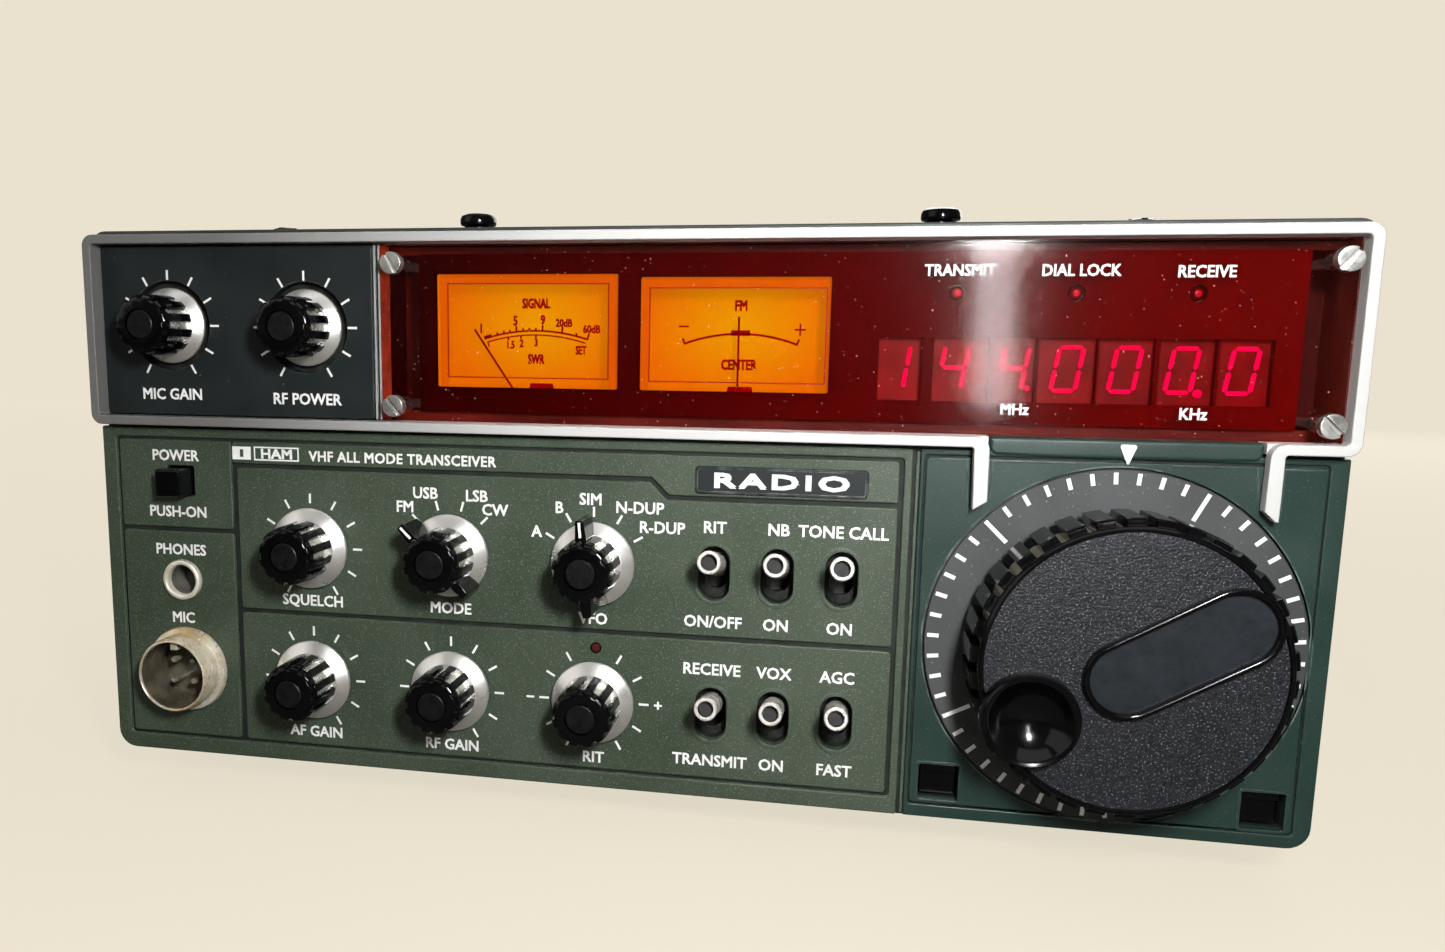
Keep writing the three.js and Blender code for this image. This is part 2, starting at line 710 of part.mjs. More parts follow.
function hatchPlunger(name, side) {
  const base = TOP + GAP + SHEET;
  const head = TOP + PLUNGER.top;
  const profile = [
    [0, TOP - 6],
    [1.8, TOP - 6],
    [2.6, TOP - 3],
    [2.6, base + GAP],
    [5.4, base + GAP],
    [5.4, base + 1.4],
    [3.3, base + 1.8],
    [3.2, head - 3.2],
    [4.3, head - 2.7],
    [4.2, head - 1.2],
    [2.6, head - 0.2],
    [0, head],
  ];
  return piece(name, upright(profile, 14, side * PLUNGER.x, PLUNGER.y), BLACK_PLASTIC);
}

// Inside the cabinet.
function mainBoard() {
  const board = block([-106, 48, 14], [106, 214, 15.6]);
  const parts = [];
  for (let i = 0; i < 8; i++)
    for (let j = 0; j < 3; j++) {
      const [x, y] = [-96 + i * 14, 56 + j * 22];
      parts.push(block([x, y, 15], [x + 9, y + 9, 22 + ((i + j) % 3) * 3]));
    }
  const posts = [-100, 100].flatMap((x) =>
    [54, 208].map((y) => block([x - 3, y - 3, 3 + SHEET + GAP], [x + 3, y + 3, 14.5])),
  );
  return piece("main_board", join([board, ...parts, ...posts]), CIRCUIT_GREEN);
}

function pllBox() {
  const can = block([-104, 128, 16], [-14, 208, 44]);
  const lid = block([-105, 127, 44 - 0.1], [-13, 209, 46]);
  return piece("pll_box", can.add(lid), SATIN_SILVER);
}

function powerTransformer() {
  const core = block([34, 156, 16], [94, 200, 66]);
  const windows = block([46, 150, 27], [82, 206, 55]);
  const coil = block([44, 148, 26], [84, 208, 56]);
  const hole = block([58, 140, 36], [70, 216, 46]);
  const bridge = block([46, 157, 27], [82, 199, 55]);
  const wound = core.subtract(windows).add(coil).subtract(hole).add(bridge);
  return piece("power_transformer", wound, STEEL);
}

function speaker() {
  const { x, y, radius } = SPEAKER;
  const top = TOP - SHEET - GAP;
  const profile = [
    [0, top - 22],
    [15, top - 22],
    [15, top - 12],
    [28, top - 3],
    [radius, top - 2],
    [radius, top],
    [29, top],
    [8, top - 9],
    [0, top - 9],
  ];
  return piece("speaker", upright(profile, 20, x, y), BLACK_PANEL);
}

function cabinet() {
  const group = new THREE.Group();
  group.add(chassis(), topCover(), bottomCover(), rearPanel(), rearHeatSink());
  for (const [end, y] of [["front", FOOT.front], ["rear", FOOT.back]])
    for (const [side, x] of [["left", -FOOT.x], ["right", FOOT.x]])
      group.add(foot(`${end}_${side}_foot`, x, y));
  group.add(antennaConnector(), powerSocket(), fuseHolder());
  group.add(frontPanel(), bezelFrame(), gainPanel(), displayWindow());
  SCREWS.forEach((spot, i) => group.add(windowScrew(`window_screw_${i + 1}`, spot)));
  group.add(displayMask(), displayBoard());
  for (const [name, spot] of Object.entries(METERS))
    group.add(meter(`${name}_meter`, spot), needle(`${name}_needle`, spot));
  group.add(
    potBank("gain_pot_bank", GAIN_KNOBS, [-117, -58, 76, 107], PANEL + 0.2),
    potBank("control_bank", KNOBS, [-86, 3.8, 4, 66], 5),
    toggleBank(),
  );
  for (const [name, spot] of Object.entries(KNOBS)) group.add(knob(name, spot, 0));
  for (const [name, spot] of Object.entries(GAIN_KNOBS))
    group.add(knob(name, spot, GAIN_KNOB_SUNK));
  for (const [name, spot] of Object.entries(TOGGLES)) group.add(toggleLever(name, spot));
  for (const [name, spot] of Object.entries(PUSH_BUTTONS)) group.add(pushButton(name, spot));
  group.add(powerButton(), phonesJack(), micSocket());
  group.add(mainDial(), dialRing(), dialShaft(), dialBushing());
  group.add(accessHatch());
  group.add(hatchPlunger("left_hatch_plunger", -1), hatchPlunger("right_hatch_plunger", 1));
  group.add(mainBoard(), pllBox(), powerTransformer(), speaker());
  return group;
}

const transceiver = new THREE.Group();
const body = cabinet();
body.position.set(0, FRONT_Y, FOOT_HEIGHT);
transceiver.add(body);
export default transceiver;
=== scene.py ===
"""A desktop all-mode VHF transceiver of the 1970s: its looks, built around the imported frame.

Distances in this script are millimetres, measured from the printed front plane (y, into the depth),
from the middle of the cabinet (x, to the right) and from the underside of the cabinet (z, up).
at() turns such a place into the frame's metres.
"""
import math
import json

import bmesh
import bpy
from mathutils import Matrix, Vector


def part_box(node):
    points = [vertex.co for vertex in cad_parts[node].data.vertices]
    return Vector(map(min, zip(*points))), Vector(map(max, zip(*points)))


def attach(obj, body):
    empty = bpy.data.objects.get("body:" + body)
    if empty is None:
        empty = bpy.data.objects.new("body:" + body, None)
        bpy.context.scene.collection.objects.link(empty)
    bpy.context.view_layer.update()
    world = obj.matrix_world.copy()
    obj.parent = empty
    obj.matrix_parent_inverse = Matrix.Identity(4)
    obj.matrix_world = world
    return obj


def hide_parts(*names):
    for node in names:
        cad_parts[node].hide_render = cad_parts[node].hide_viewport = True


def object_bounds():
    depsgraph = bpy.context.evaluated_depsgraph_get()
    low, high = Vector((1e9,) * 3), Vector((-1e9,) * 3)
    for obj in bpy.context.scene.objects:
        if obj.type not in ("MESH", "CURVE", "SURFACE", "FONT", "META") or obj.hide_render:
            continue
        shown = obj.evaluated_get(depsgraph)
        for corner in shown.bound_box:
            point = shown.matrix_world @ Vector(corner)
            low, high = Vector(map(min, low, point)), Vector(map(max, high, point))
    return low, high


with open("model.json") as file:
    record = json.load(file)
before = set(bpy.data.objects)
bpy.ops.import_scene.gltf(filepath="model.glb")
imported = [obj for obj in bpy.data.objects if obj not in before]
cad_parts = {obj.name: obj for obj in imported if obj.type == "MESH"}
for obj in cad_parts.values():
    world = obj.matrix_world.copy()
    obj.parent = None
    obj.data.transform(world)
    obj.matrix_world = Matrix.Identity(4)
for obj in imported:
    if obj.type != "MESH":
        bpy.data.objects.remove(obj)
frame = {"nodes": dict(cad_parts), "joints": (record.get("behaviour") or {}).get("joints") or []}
cad_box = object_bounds()

MM = 0.001
PANEL_LOW, PANEL_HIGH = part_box("front_panel")
JOINTS = {joint["name"]: joint for joint in frame["joints"]}


def at(x, y, z):
    return Vector((x * MM, PANEL_LOW.y + y * MM, PANEL_LOW.z + z * MM))


def local(point):
    """A point of the frame, in metres, as (x, y, z) in this script's millimetres."""
    x, y, z = point
    return x / MM, (y - PANEL_LOW.y) / MM, (z - PANEL_LOW.z) / MM


def hub(joint):
    """Where a joint's axis stands on the front plane: (x, z)."""
    x, _, z = local(JOINTS[joint]["pos_m"])
    return x, z


def middle(node):
    """The middle of a CAD node's box: (x, y, z)."""
    low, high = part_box(node)
    return local((low + high) / 2)


# ---------------------------------------------------------------- camera, light and floor

CAMERA_PLACE = (33.4, -208.6, 88.0)
CAMERA_YAW, CAMERA_PITCH, CAMERA_ROLL = -11.14, -8.47, 0.67  # degrees
SENSOR_MM, LENS_MM = 36.0, 27.32
CAMERA_SHIFT = (0.0716, 0.0274)


def aim_matrix(place, forward, roll=0.0):
    """A camera or lamp at a place, looking along forward, turned by roll about it."""
    forward = forward.normalized()
    right = forward.cross(Vector((0, 0, 1))).normalized()
    up = right.cross(forward)
    turned_right = math.cos(roll) * right + math.sin(roll) * up
    turned_up = math.cos(roll) * up - math.sin(roll) * right
    axes = Matrix((turned_right, turned_up, -forward)).transposed()
    return Matrix.Translation(place) @ axes.to_4x4()


def add_camera():
    yaw, pitch, roll = (math.radians(a) for a in (CAMERA_YAW, CAMERA_PITCH, CAMERA_ROLL))
    forward = Vector((math.sin(yaw) * math.cos(pitch), math.cos(yaw) * math.cos(pitch), math.sin(pitch)))
    camera = bpy.data.objects.new("camera", bpy.data.cameras.new("camera"))
    camera.data.sensor_width = SENSOR_MM
    camera.data.lens = LENS_MM
    camera.data.shift_x, camera.data.shift_y = CAMERA_SHIFT
    camera.data.clip_start = 0.01
    camera.matrix_world = aim_matrix(at(*CAMERA_PLACE), forward, roll)
    bpy.context.collection.objects.link(camera)
    bpy.context.scene.camera = camera


def add_lamp(name, place, target, width, height, watts, colour=(1, 1, 1)):
    light = bpy.data.lights.new(name, "AREA")
    light.shape = "RECTANGLE"
    light.size, light.size_y = width, height
    light.energy = watts
    light.color = colour
    lamp = bpy.data.objects.new(name, light)
    lamp.matrix_world = aim_matrix(at(*place), at(*target) - at(*place))
    lamp.visible_camera = False
    bpy.context.collection.objects.link(lamp)
    return lamp


def add_lamps():
    add_lamp("key_lamp", (86, -215, 152), (0, 0, 45), 0.026, 0.05, 1.0)
    strip = add_lamp("strip_lamp", (101, -330, 158), (20, 0, 55), 0.018, 0.2, 0.66)
    strip.visible_diffuse = False
    add_lamp("left_fill", (-900, -500, 500), (0, 100, 50), 0.8, 0.8, 1.6, (1, 0.97, 0.93))
    add_lamp("top_fill", (0, 150, 1100), (0, 120, 50), 1.4, 1.4, 6)
    add_lamp("back_fill", (500, 1300, 700), (0, 200, 50), 1.0, 1.0, 9)


BACKDROP = (0.823, 0.76, 0.624)
ROOM_LIGHT = 0.12  # what the room sends to surfaces, as a share of how bright it looks
FLOOR_GLOW = (0.895, 0.985)  # beside the set and far from it
FLOOR_REACH = (0.2, 1.8)  # metres from the set
FLOOR_RADIUS = 9.0


def add_surroundings():
    """A pale room: bright to the eye, dim in the light and the mirror reflections it sends to the set."""
    world = bpy.data.worlds.new("room")
    tree = Tree(world)
    tree.feed(tree.nodes["Background"], {
        "Color": BACKDROP, "Strength": tree.mapped(tree.seen_by_camera(), 0, 1, ROOM_LIGHT, 1.0)})
    bpy.context.scene.world = world
    bpy.context.scene.view_settings.view_transform = "Standard"

    floor_mesh = bpy.data.meshes.new("floor")
    build = bmesh.new()
    bmesh.ops.create_circle(build, cap_ends=True, segments=96, radius=FLOOR_RADIUS)
    build.to_mesh(floor_mesh)
    build.free()
    floor = bpy.data.objects.new("floor", floor_mesh)
    floor.location.z = cad_box[0].z
    bpy.context.collection.objects.link(floor)
    paint = surface("floor_paint", (0.098, 0.089, 0.073), (0.102, 0.093, 0.077), (0.85, 0.95), scale=6,
                    shine=0.0)
    tree = Tree(paint)
    distance = tree.add("VectorMath", {0: tree.place()}, "Value", operation="LENGTH")
    glow = tree.times(tree.mapped(distance, *FLOOR_REACH, *FLOOR_GLOW), tree.seen_by_camera())
    tree.feed(tree.nodes["Principled BSDF"], {"Emission Color": BACKDROP, "Emission Strength": glow})
    floor_mesh.materials.append(paint)


# ---------------------------------------------------------------- materials

class Tree:
    """The nodes of a material or of the world."""

    def __init__(self, owner):
        owner.use_nodes = True
        self.nodes, self.links = owner.node_tree.nodes, owner.node_tree.links

    def feed(self, node, inputs):
        """Sets a node's inputs by name: another node's socket is linked, anything else is the value."""
        for name, value in inputs.items():
            socket = node.inputs[name]
            if isinstance(value, bpy.types.NodeSocket):
                self.links.new(value, socket)
            else:
                socket.default_value = (*value, 1) if socket.type == "RGBA" else value

    def add(self, kind, inputs, output=0, **settings):
        """A new node with its settings and inputs; gives back one of its outputs."""
        node = self.nodes.new("ShaderNode" + kind)
        for name, value in settings.items():
            setattr(node, name, value)
        self.feed(node, inputs)
        return node.outputs[output]

    def place(self, kind="Object"):
        return self.add("TexCoord", {}, kind)

    def seen_by_camera(self):
        return self.add("LightPath", {}, "Is Camera Ray")

    def mapped(self, value, from_low, from_high, to_low=0.0, to_high=1.0):
        return self.add("MapRange", {"Value": value, "From Min": from_low, "From Max": from_high,
                                     "To Min": to_low, "To Max": to_high}, "Result")

    def times(self, first, second):
        return self.add("Math", {0: first, 1: second}, operation="MULTIPLY")

    def noise(self, place, scale, detail=3.0):
        return self.add("TexNoise", {"Vector": place, "Scale": scale, "Detail": detail, "Roughness": 0.55},
                        "Fac")

    def mixed(self, share, first, second):
        """A mix of two colours, each an RGB tuple or a socket, by the share of the second."""
        return self.add("Mix", {"Factor": share, "A": first, "B": second}, "Result", data_type="RGBA")

    def edge_share(self, radius_mm, low, high):
        """Nearly 1 along sharp edges, 0 on flat faces."""
        bent = self.add("Bevel", {"Radius": radius_mm * MM}, "Normal", samples=4)
        flat = self.add("NewGeometry", {}, "Normal")
        dot = self.add("VectorMath", {0: bent, 1: flat}, "Value", operation="DOT_PRODUCT")
        return self.mapped(dot, high, low)


# the parts of a noise's range that are used
DRIFT, SMUDGE, PATCHES = (0.32, 0.68), (0.35, 0.65), (0.42, 0.62)
WEAR_SCALE = 260
EDGE_BEND = (0.8, 0.985)  # how alike the true and the rounded direction are, on an edge and off it


def surface(name, dark, light, rough, metal=0.0, scale=90.0, grain=None, coat=0.0, wear=None, dust_and_glint_specks=None,
            glow=0.0, shine=0.5, share=None):
    """A surface whose colour and roughness drift between two tones, with what else it shows.

    grain: (noise scale, height in mm, strength) of a fine relief
    wear:  (colour, edge width in mm) rubbed along the edges
    dust_and_glint_specks: (colour, noise scale, threshold) of dust and flecks, and on the dial face of
    painted glints
    glow:  strength of light given off in the surface's own colour; on parts that are no lamps this is painted
    light
    shine: strength of the mirror reflection of a surface that isn't metal
    share: what the second tone's share follows, in place of the drift
    """
    material = bpy.data.materials.new(name)
    tree = Tree(material)
    place = tree.place()
    share = share(tree) if share else tree.mapped(tree.noise(place, scale), *DRIFT)
    colour = tree.mixed(share, dark, light)
    if dust_and_glint_specks:
        tone, speck_scale, threshold = dust_and_glint_specks
        fleck = tree.noise(place, speck_scale, 1.0)
        colour = tree.mixed(tree.mapped(fleck, threshold, threshold + 0.05), colour, tone)
    if wear:
        tone, width = wear
        patchy = tree.mapped(tree.noise(place, WEAR_SCALE, 4.0), *PATCHES)
        colour = tree.mixed(tree.times(tree.edge_share(width, *EDGE_BEND), patchy), colour, tone)
    smudge = tree.mapped(tree.noise(place, scale * 2.3, 4.0), *SMUDGE, *rough)
    shader = tree.nodes["Principled BSDF"]
    tree.feed(shader, {"Base Color": colour, "Metallic": metal, "Specular IOR Level": shine,
                       "Roughness": smudge, "Coat Weight": coat, "Coat Roughness": 0.08})
    if glow:
        tree.feed(shader, {"Emission Color": colour, "Emission Strength": glow})
    if grain:
        grain_scale, height, strength = grain
        relief = tree.noise(place, grain_scale, 2.0)
        tree.feed(shader, {"Normal": tree.add("Bump", {
            "Height": relief, "Distance": height * MM, "Strength": strength})})
    return material


def painted_light_along_x(start, end):
    """A share that goes from 0 to 1 between two places in millimetres along x: painted light that grows
    towards the right.
    """
    def share(tree):
        along = tree.add("SeparateXYZ", {"Vector": tree.place()}, "X")
        return tree.mapped(along, start * MM, end * MM)
    return share


def painted_backlight_pool(tree):
    """A share of 1 in the upper middle of a piece's face, less and less towards its edges: a painted pool of
    backlight.
    """
    spread = tree.add("Mapping", {"Vector": tree.place("Generated"), "Location": (-1.0, 0, -1.64),
                                  "Scale": (2.0, 0, 2.4)})
    return tree.add("TexGradient", {"Vector": spread}, "Fac", gradient_type="SPHERICAL")


def lit_face(name, first, second, glow, share=None):
    """A matt face whose glow is painted light, in place of the lamps that light it."""
    return surface(name, first, second, (0.5, 0.6), scale=24, glow=glow, shine=0.0, share=share)


def clear_plastic(name, tint, dust, dust_scale=2800.0):
    """Clear tinted plastic with dust on it. Lamps shine through it."""
    material = bpy.data.materials.new(name)
    tree = Tree(material)
    place = tree.place()
    dusty = tree.mapped(tree.noise(place, dust_scale, 0.0), 0.85, 0.88)
    shader = tree.nodes["Principled BSDF"]
    tree.feed(shader, {
        "IOR": 1.04, "Coat Weight": 0.15, "Coat Roughness": 0.09, "Base Color": tree.mixed(dusty, tint, dust),
        "Transmission Weight": tree.mapped(dusty, 0, 1, 1, 0),
        "Roughness": tree.mapped(tree.noise(place, 40), 0.3, 0.7, 0.0, 0.003)})
    shadow_ray = tree.add("LightPath", {}, "Is Shadow Ray")
    passing = tree.add("BsdfTransparent", {"Color": tint})
    tree.feed(tree.nodes["Material Output"], {"Surface": tree.add("MixShader", {
        0: shadow_ray, 1: shader.outputs["BSDF"], 2: passing})})
    return material


# kind: (name, darker tone, lighter tone, roughness range, noise scale, metal)
PLAIN_FINISHES = {
    "skirt": ("knob_skirt", (0.8, 0.79, 0.76), (0.88, 0.87, 0.84), (0.27, 0.33), 120, 0.85),
    "chrome": ("rib_chrome", (0.66, 0.64, 0.57), (0.93, 0.91, 0.85), (0.16, 0.3), 500, 0.8),
    "lever": ("lever_plate", (0.62, 0.59, 0.54), (0.78, 0.75, 0.7), (0.24, 0.34), 160, 0.5),
    "dark_red": ("led_off", (0.045, 0.006, 0.006), (0.08, 0.008, 0.008), (0.15, 0.25), 500, 0.0),
    "nickel": ("jack_nickel", (0.74, 0.7, 0.58), (0.86, 0.83, 0.73), (0.3, 0.42), 200, 0.4),
    "jack_bore": ("jack_bore", (0.075, 0.075, 0.06), (0.15, 0.145, 0.12), (0.4, 0.55), 300, 0.0),
    "cavity": ("socket_insert", (0.04, 0.034, 0.022), (0.12, 0.1, 0.068), (0.22, 0.4), 260, 0.0),
    "brass": ("contact_brass", (0.62, 0.55, 0.38), (0.88, 0.84, 0.7), (0.14, 0.26), 300, 0.8),
    "steel": ("zinc_steel", (0.46, 0.45, 0.42), (0.7, 0.69, 0.66), (0.22, 0.38), 120, 0.85),
    "tin": ("tin_can", (0.5, 0.5, 0.48), (0.68, 0.68, 0.66), (0.24, 0.42), 50, 1.0),
    "board": ("circuit_board", (0.02, 0.075, 0.03), (0.04, 0.12, 0.05), (0.3, 0.45), 140, 0.0),
}
# Glow is painted light on all but the digits and the LEDs, which are lamps: the meter rim lines, ink and
# needles glow in place of the meter lamps, the digit bays with the digits' spill, the window edges with light
# caught in the red plastic, and the white print with a faint painted brightening.
# kind: (name, darker tone, lighter tone, roughness range, noise scale, glow, shine)
LIT_FINISHES = {
    "white": ("legend_white_painted_glow", (0.66, 0.66, 0.64), (0.8, 0.8, 0.78), (0.5, 0.6), 300, 0.1, 0.3),
    "painted_edge_glow": ("edge_painted_glow", (0.026, 0.002, 0.001), (0.055, 0.007, 0.0035), (0.4, 0.6), 50, 0.4, 0.1),
    "dim": ("edge_painted_dim_glow", (0.01, 0.0006, 0.0004), (0.022, 0.002, 0.0012), (0.5, 0.6), 60, 0.4, 0.05),
    "painted_edge_flare": ("edge_painted_flare", (0.06, 0.008, 0.003), (0.16, 0.024, 0.008), (0.4, 0.6), 220, 0.6, 0.1),
    "amber_rim": ("meter_rim", (0.13, 0.005, 0.0002), (0.16, 0.008, 0.0003), (0.4, 0.5), 60, 0.8, 0.1),
    "ink": ("meter_ink", (0.09, 0.0003, 0.0001), (0.105, 0.0005, 0.0002), (0.6, 0.7), 300, 1.2, 0.0),
    "needle": ("needle_red", (0.075, 0.0004, 0.0002), (0.09, 0.0006, 0.0002), (0.5, 0.6), 200, 1.1, 0.0),
    "digit": ("digit_glow", (0.25, 0.0003, 0.026), (0.29, 0.0005, 0.038), (0.4, 0.5), 200, 1.35, 0.0),
    "digit_bay": ("digit_bay", (0.042, 0.0001, 0.0001), (0.085, 0.0002, 0.0002), (0.3, 0.5), 120, 0.8, 0.05),
    "led": ("led_red", (0.03, 0.0003, 0.0003), (0.055, 0.0004, 0.0006), (0.15, 0.25), 500, 0.6, 0.05),
    "led_core": ("led_core", (0.13, 0.001, 0.006), (0.2, 0.002, 0.012), (0.15, 0.25), 500, 0.9, 0.2),
}


def make_materials():
    """Every finish of the set, by the name the rest of the script uses."""
    finishes = {
        "green": surface("panel_green", (0.034, 0.052, 0.031), (0.052, 0.071, 0.047), (0.42, 0.56), scale=45,
                         grain=(3200, 0.05, 0.4), wear=((0.2, 0.23, 0.19), 0.3),
                         dust_and_glint_specks=((0.115, 0.135, 0.11), 3400, 0.62), shine=0.32),
        "groove": surface("groove_shadow", (0.008, 0.011, 0.009), (0.018, 0.023, 0.018), (0.55, 0.7),
                          scale=200, shine=0.2),
        "teal": surface("dial_bay_green", (0.0115, 0.028, 0.0225), (0.0185, 0.04, 0.033), (0.34, 0.46),
                        scale=40, grain=(3600, 0.03, 0.2), wear=((0.13, 0.18, 0.16), 0.3),
                        dust_and_glint_specks=((0.055, 0.08, 0.072), 2600, 0.68), shine=0.28),
        # the bezel's silver is darker on the left and lighter from x = -20 mm rightwards: a painted highlight
        "silver": surface("satin_silver", (0.15, 0.15, 0.145), (0.52, 0.52, 0.51), (0.5, 0.6), metal=0.1,
                          scale=60, grain=(2400, 0.02, 0.12), shine=0.25, share=painted_light_along_x(-90, -20)),
        "core": surface("lever_bore_painted_shade", (0.02, 0.02, 0.021), (0.035, 0.035, 0.036), (0.45, 0.6), scale=400,
                        shine=0.15),
        "black": surface("knob_black", (0.0006, 0.0007, 0.001), (0.002, 0.0021, 0.0028), (0.1, 0.18),
                         scale=180, coat=0.04, dust_and_glint_specks=((0.05, 0.05, 0.045), 1300, 0.82), shine=0.25),
        "cap": surface("knob_cap", (0.003, 0.003, 0.0035), (0.008, 0.008, 0.009), (0.34, 0.46), scale=600,
                       grain=(2600, 0.08, 0.6), shine=0.12),
        # the light specks in the dial face's grain are painted glints
        "leather": surface("dial_grain", (0.006, 0.007, 0.0085), (0.014, 0.015, 0.018), (0.3, 0.44),
                           scale=900, grain=(2300, 0.15, 0.9), dust_and_glint_specks=((0.11, 0.11, 0.13), 3000, 0.62),
                           shine=0.25),
        "inlay": surface("dial_inlay", (0.0065, 0.009, 0.0115), (0.0115, 0.015, 0.019), (0.4, 0.52),
                         scale=300, grain=(2800, 0.06, 0.5), shine=0.2),
        # the cream floor between the dial's ribs has a faint glow: painted light
        "flute": surface("flute_floor_painted_glow", (0.28, 0.26, 0.19), (0.46, 0.43, 0.33), (0.45, 0.6), scale=300,
                         glow=0.08),
        "ring": surface("dial_ring_grey", (0.044, 0.047, 0.047), (0.062, 0.067, 0.067), (0.5, 0.62), scale=60,
                        grain=(3000, 0.02, 0.2), dust_and_glint_specks=((0.16, 0.16, 0.16), 1800, 0.72), shine=0.22),
        "gain": surface("gain_panel_black", (0.0068, 0.0105, 0.0108), (0.0125, 0.0168, 0.0172), (0.46, 0.58),
                        scale=50, grain=(3200, 0.03, 0.25), wear=((0.3, 0.3, 0.28), 0.3),
                        dust_and_glint_specks=((0.4, 0.4, 0.38), 1400, 0.805), shine=0.22),
        "window": clear_plastic("red_window", (1.0, 0.72, 0.7), (0.8, 0.7, 0.66)),
        # the mask's glow is painted light, and it is darker on the left and lighter to the right: painted
        # shade and painted light
        "maroon": lit_face("mask_maroon_painted_light", (0.006, 0.0001, 0.0001), (0.038, 0.0008, 0.0006), 0.7,
                           painted_light_along_x(-50, 112)),
        # the meter faces glow, yellower and brighter in the upper middle: a painted pool of backlight
        "orange": lit_face("meter_orange", (0.105, 0.03, 0.0001), (0.108, 0.066, 0.0001), 5.3,
                           painted_backlight_pool),
        "band": lit_face("meter_band", (0.098, 0.021, 0.0002), (0.104, 0.025, 0.0002), 4.8),
        "tarnish": surface("tarnished_plating", (0.58, 0.43, 0.22), (0.95, 0.91, 0.8), (0.2, 0.34),
                           metal=0.55, scale=110, grain=(1800, 0.01, 0.15)),
        # the shanks behind the window glow faintly: painted light in their shaded cavity
        "shank": surface("screw_shank_painted_glow", (0.72, 0.68, 0.64), (0.82, 0.78, 0.74), (0.12, 0.2), metal=1.0,
                         scale=400, glow=0.02),
        "cover": surface("cover_paint", (0.02, 0.023, 0.022), (0.032, 0.036, 0.034), (0.48, 0.62), scale=30,
                         grain=(1400, 0.1, 0.45), wear=((0.13, 0.13, 0.12), 0.5), shine=0.35),
        "anodised": surface("black_anodised", (0.01, 0.01, 0.011), (0.018, 0.018, 0.019), (0.36, 0.5),
                            metal=0.3, scale=80, wear=((0.22, 0.22, 0.22), 0.3)),
        "socket": surface("socket_plastic", (0.01, 0.01, 0.01), (0.018, 0.018, 0.018), (0.4, 0.55), scale=150,
                          grain=(2000, 0.02, 0.3)),
        "rubber": surface("foot_rubber", (0.009, 0.009, 0.009), (0.016, 0.016, 0.015), (0.72, 0.88),
                          scale=120, grain=(1600, 0.05, 0.4)),
        "cone": surface("speaker_paper", (0.01, 0.01, 0.01), (0.022, 0.021, 0.02), (0.8, 0.92), scale=240,
                        grain=(1100, 0.08, 0.5)),
        "lip": surface("cover_lip", (0.018, 0.022, 0.02), (0.034, 0.04, 0.037), (0.45, 0.6), scale=40,
                       shine=0.3),
        # near black for painted shade: in the gap under the bezel, behind the switch slots, round the gain
        # knobs' holes, deep in the phones jack and in the screws' crosses
        "painted_shade": surface("painted_shade_black", (0.003, 0.004, 0.003), (0.02, 0.022, 0.017), (0.55, 0.8), scale=700,
                         grain=(1500, 0.1, 0.6), shine=0.2),
    }
    for kind, (name, dark, light, rough, scale, metal) in PLAIN_FINISHES.items():
        finishes[kind] = surface(name, dark, light, rough, metal=metal, scale=scale)
    for kind, (name, dark, light, rough, scale, glow, shine) in LIT_FINISHES.items():
        finishes[kind] = surface(name, dark, light, rough, scale=scale, glow=glow, shine=shine)
    return finishes


# ---------------------------------------------------------------- outlines on the front plane

def polar(centre, radius, angle):
    turn = math.radians(angle)
    return centre[0] + radius * math.cos(turn), centre[1] + radius * math.sin(turn)


def circle(centre, radius, steps=64):
    return [polar(centre, radius, 360 * i / steps) for i in range(steps)]


def rounded(points, steps=6):
    """A closed outline of (x, z) or (x, z, radius) corners, those with a radius rounded."""
    outline = []
    for i, point in enumerate(points):
        corner = Vector(point[:2])
        radius = point[2] if len(point) > 2 else 0
        if not radius:
            outline.append(tuple(corner))
            continue
        back = (Vector(points[i - 1][:2]) - corner).normalized()
        ahead = (Vector(points[(i + 1) % len(points)][:2]) - corner).normalized()
        half = back.angle(ahead) / 2
        centre = corner + (back + ahead).normalized() * (radius / math.sin(half))
        first = corner + back * (radius / math.tan(half)) - centre
        last = corner + ahead * (radius / math.tan(half)) - centre
        start = math.degrees(math.atan2(first.y, first.x))
        sweep = math.degrees(math.atan2(first.x * last.y - first.y * last.x, first.dot(last)))
        outline += [polar(centre, radius, start + sweep * step / steps) for step in range(steps + 1)]
    return outline


def rectangle(x0, z0, x1, z1, radius=0):
    return rounded([(x0, z0, radius), (x1, z0, radius), (x1, z1, radius), (x0, z1, radius)])


def centred(centre, width, height, radius=0):
    x, z = centre
    return rectangle(x - width / 2, z - height / 2, x + width / 2, z + height / 2, radius)


def stadium(centre, width, height):
    return centred(centre, width, height, width / 2 - 0.01)


def capsule(start, end, radius, steps=16):
    lean = math.degrees(math.atan2(end[1] - start[1], end[0] - start[0]))
    far = [polar(end, radius, lean - 90 + 180 * i / steps) for i in range(steps + 1)]
    return far + [polar(start, radius, lean + 90 + 180 * i / steps) for i in range(steps + 1)]


def stroke(start, end, width):
    """The outline of a straight line of a given width."""
    along = (Vector(end) - Vector(start)).normalized()
    side = Vector((-along.y, along.x)) * width / 2
    return [tuple(Vector(p) + s) for p, s in ((start, -side), (end, -side), (end, side), (start, side))]


def strokes(points, width):
    """The outlines of straight lines from point to point."""
    return [stroke(a, b, width) for a, b in zip(points, points[1:])]


def ray(centre, near, far, angle, width):
    """A tick that points away from a centre."""
    return stroke(polar(centre, near, angle), polar(centre, far, angle), width)


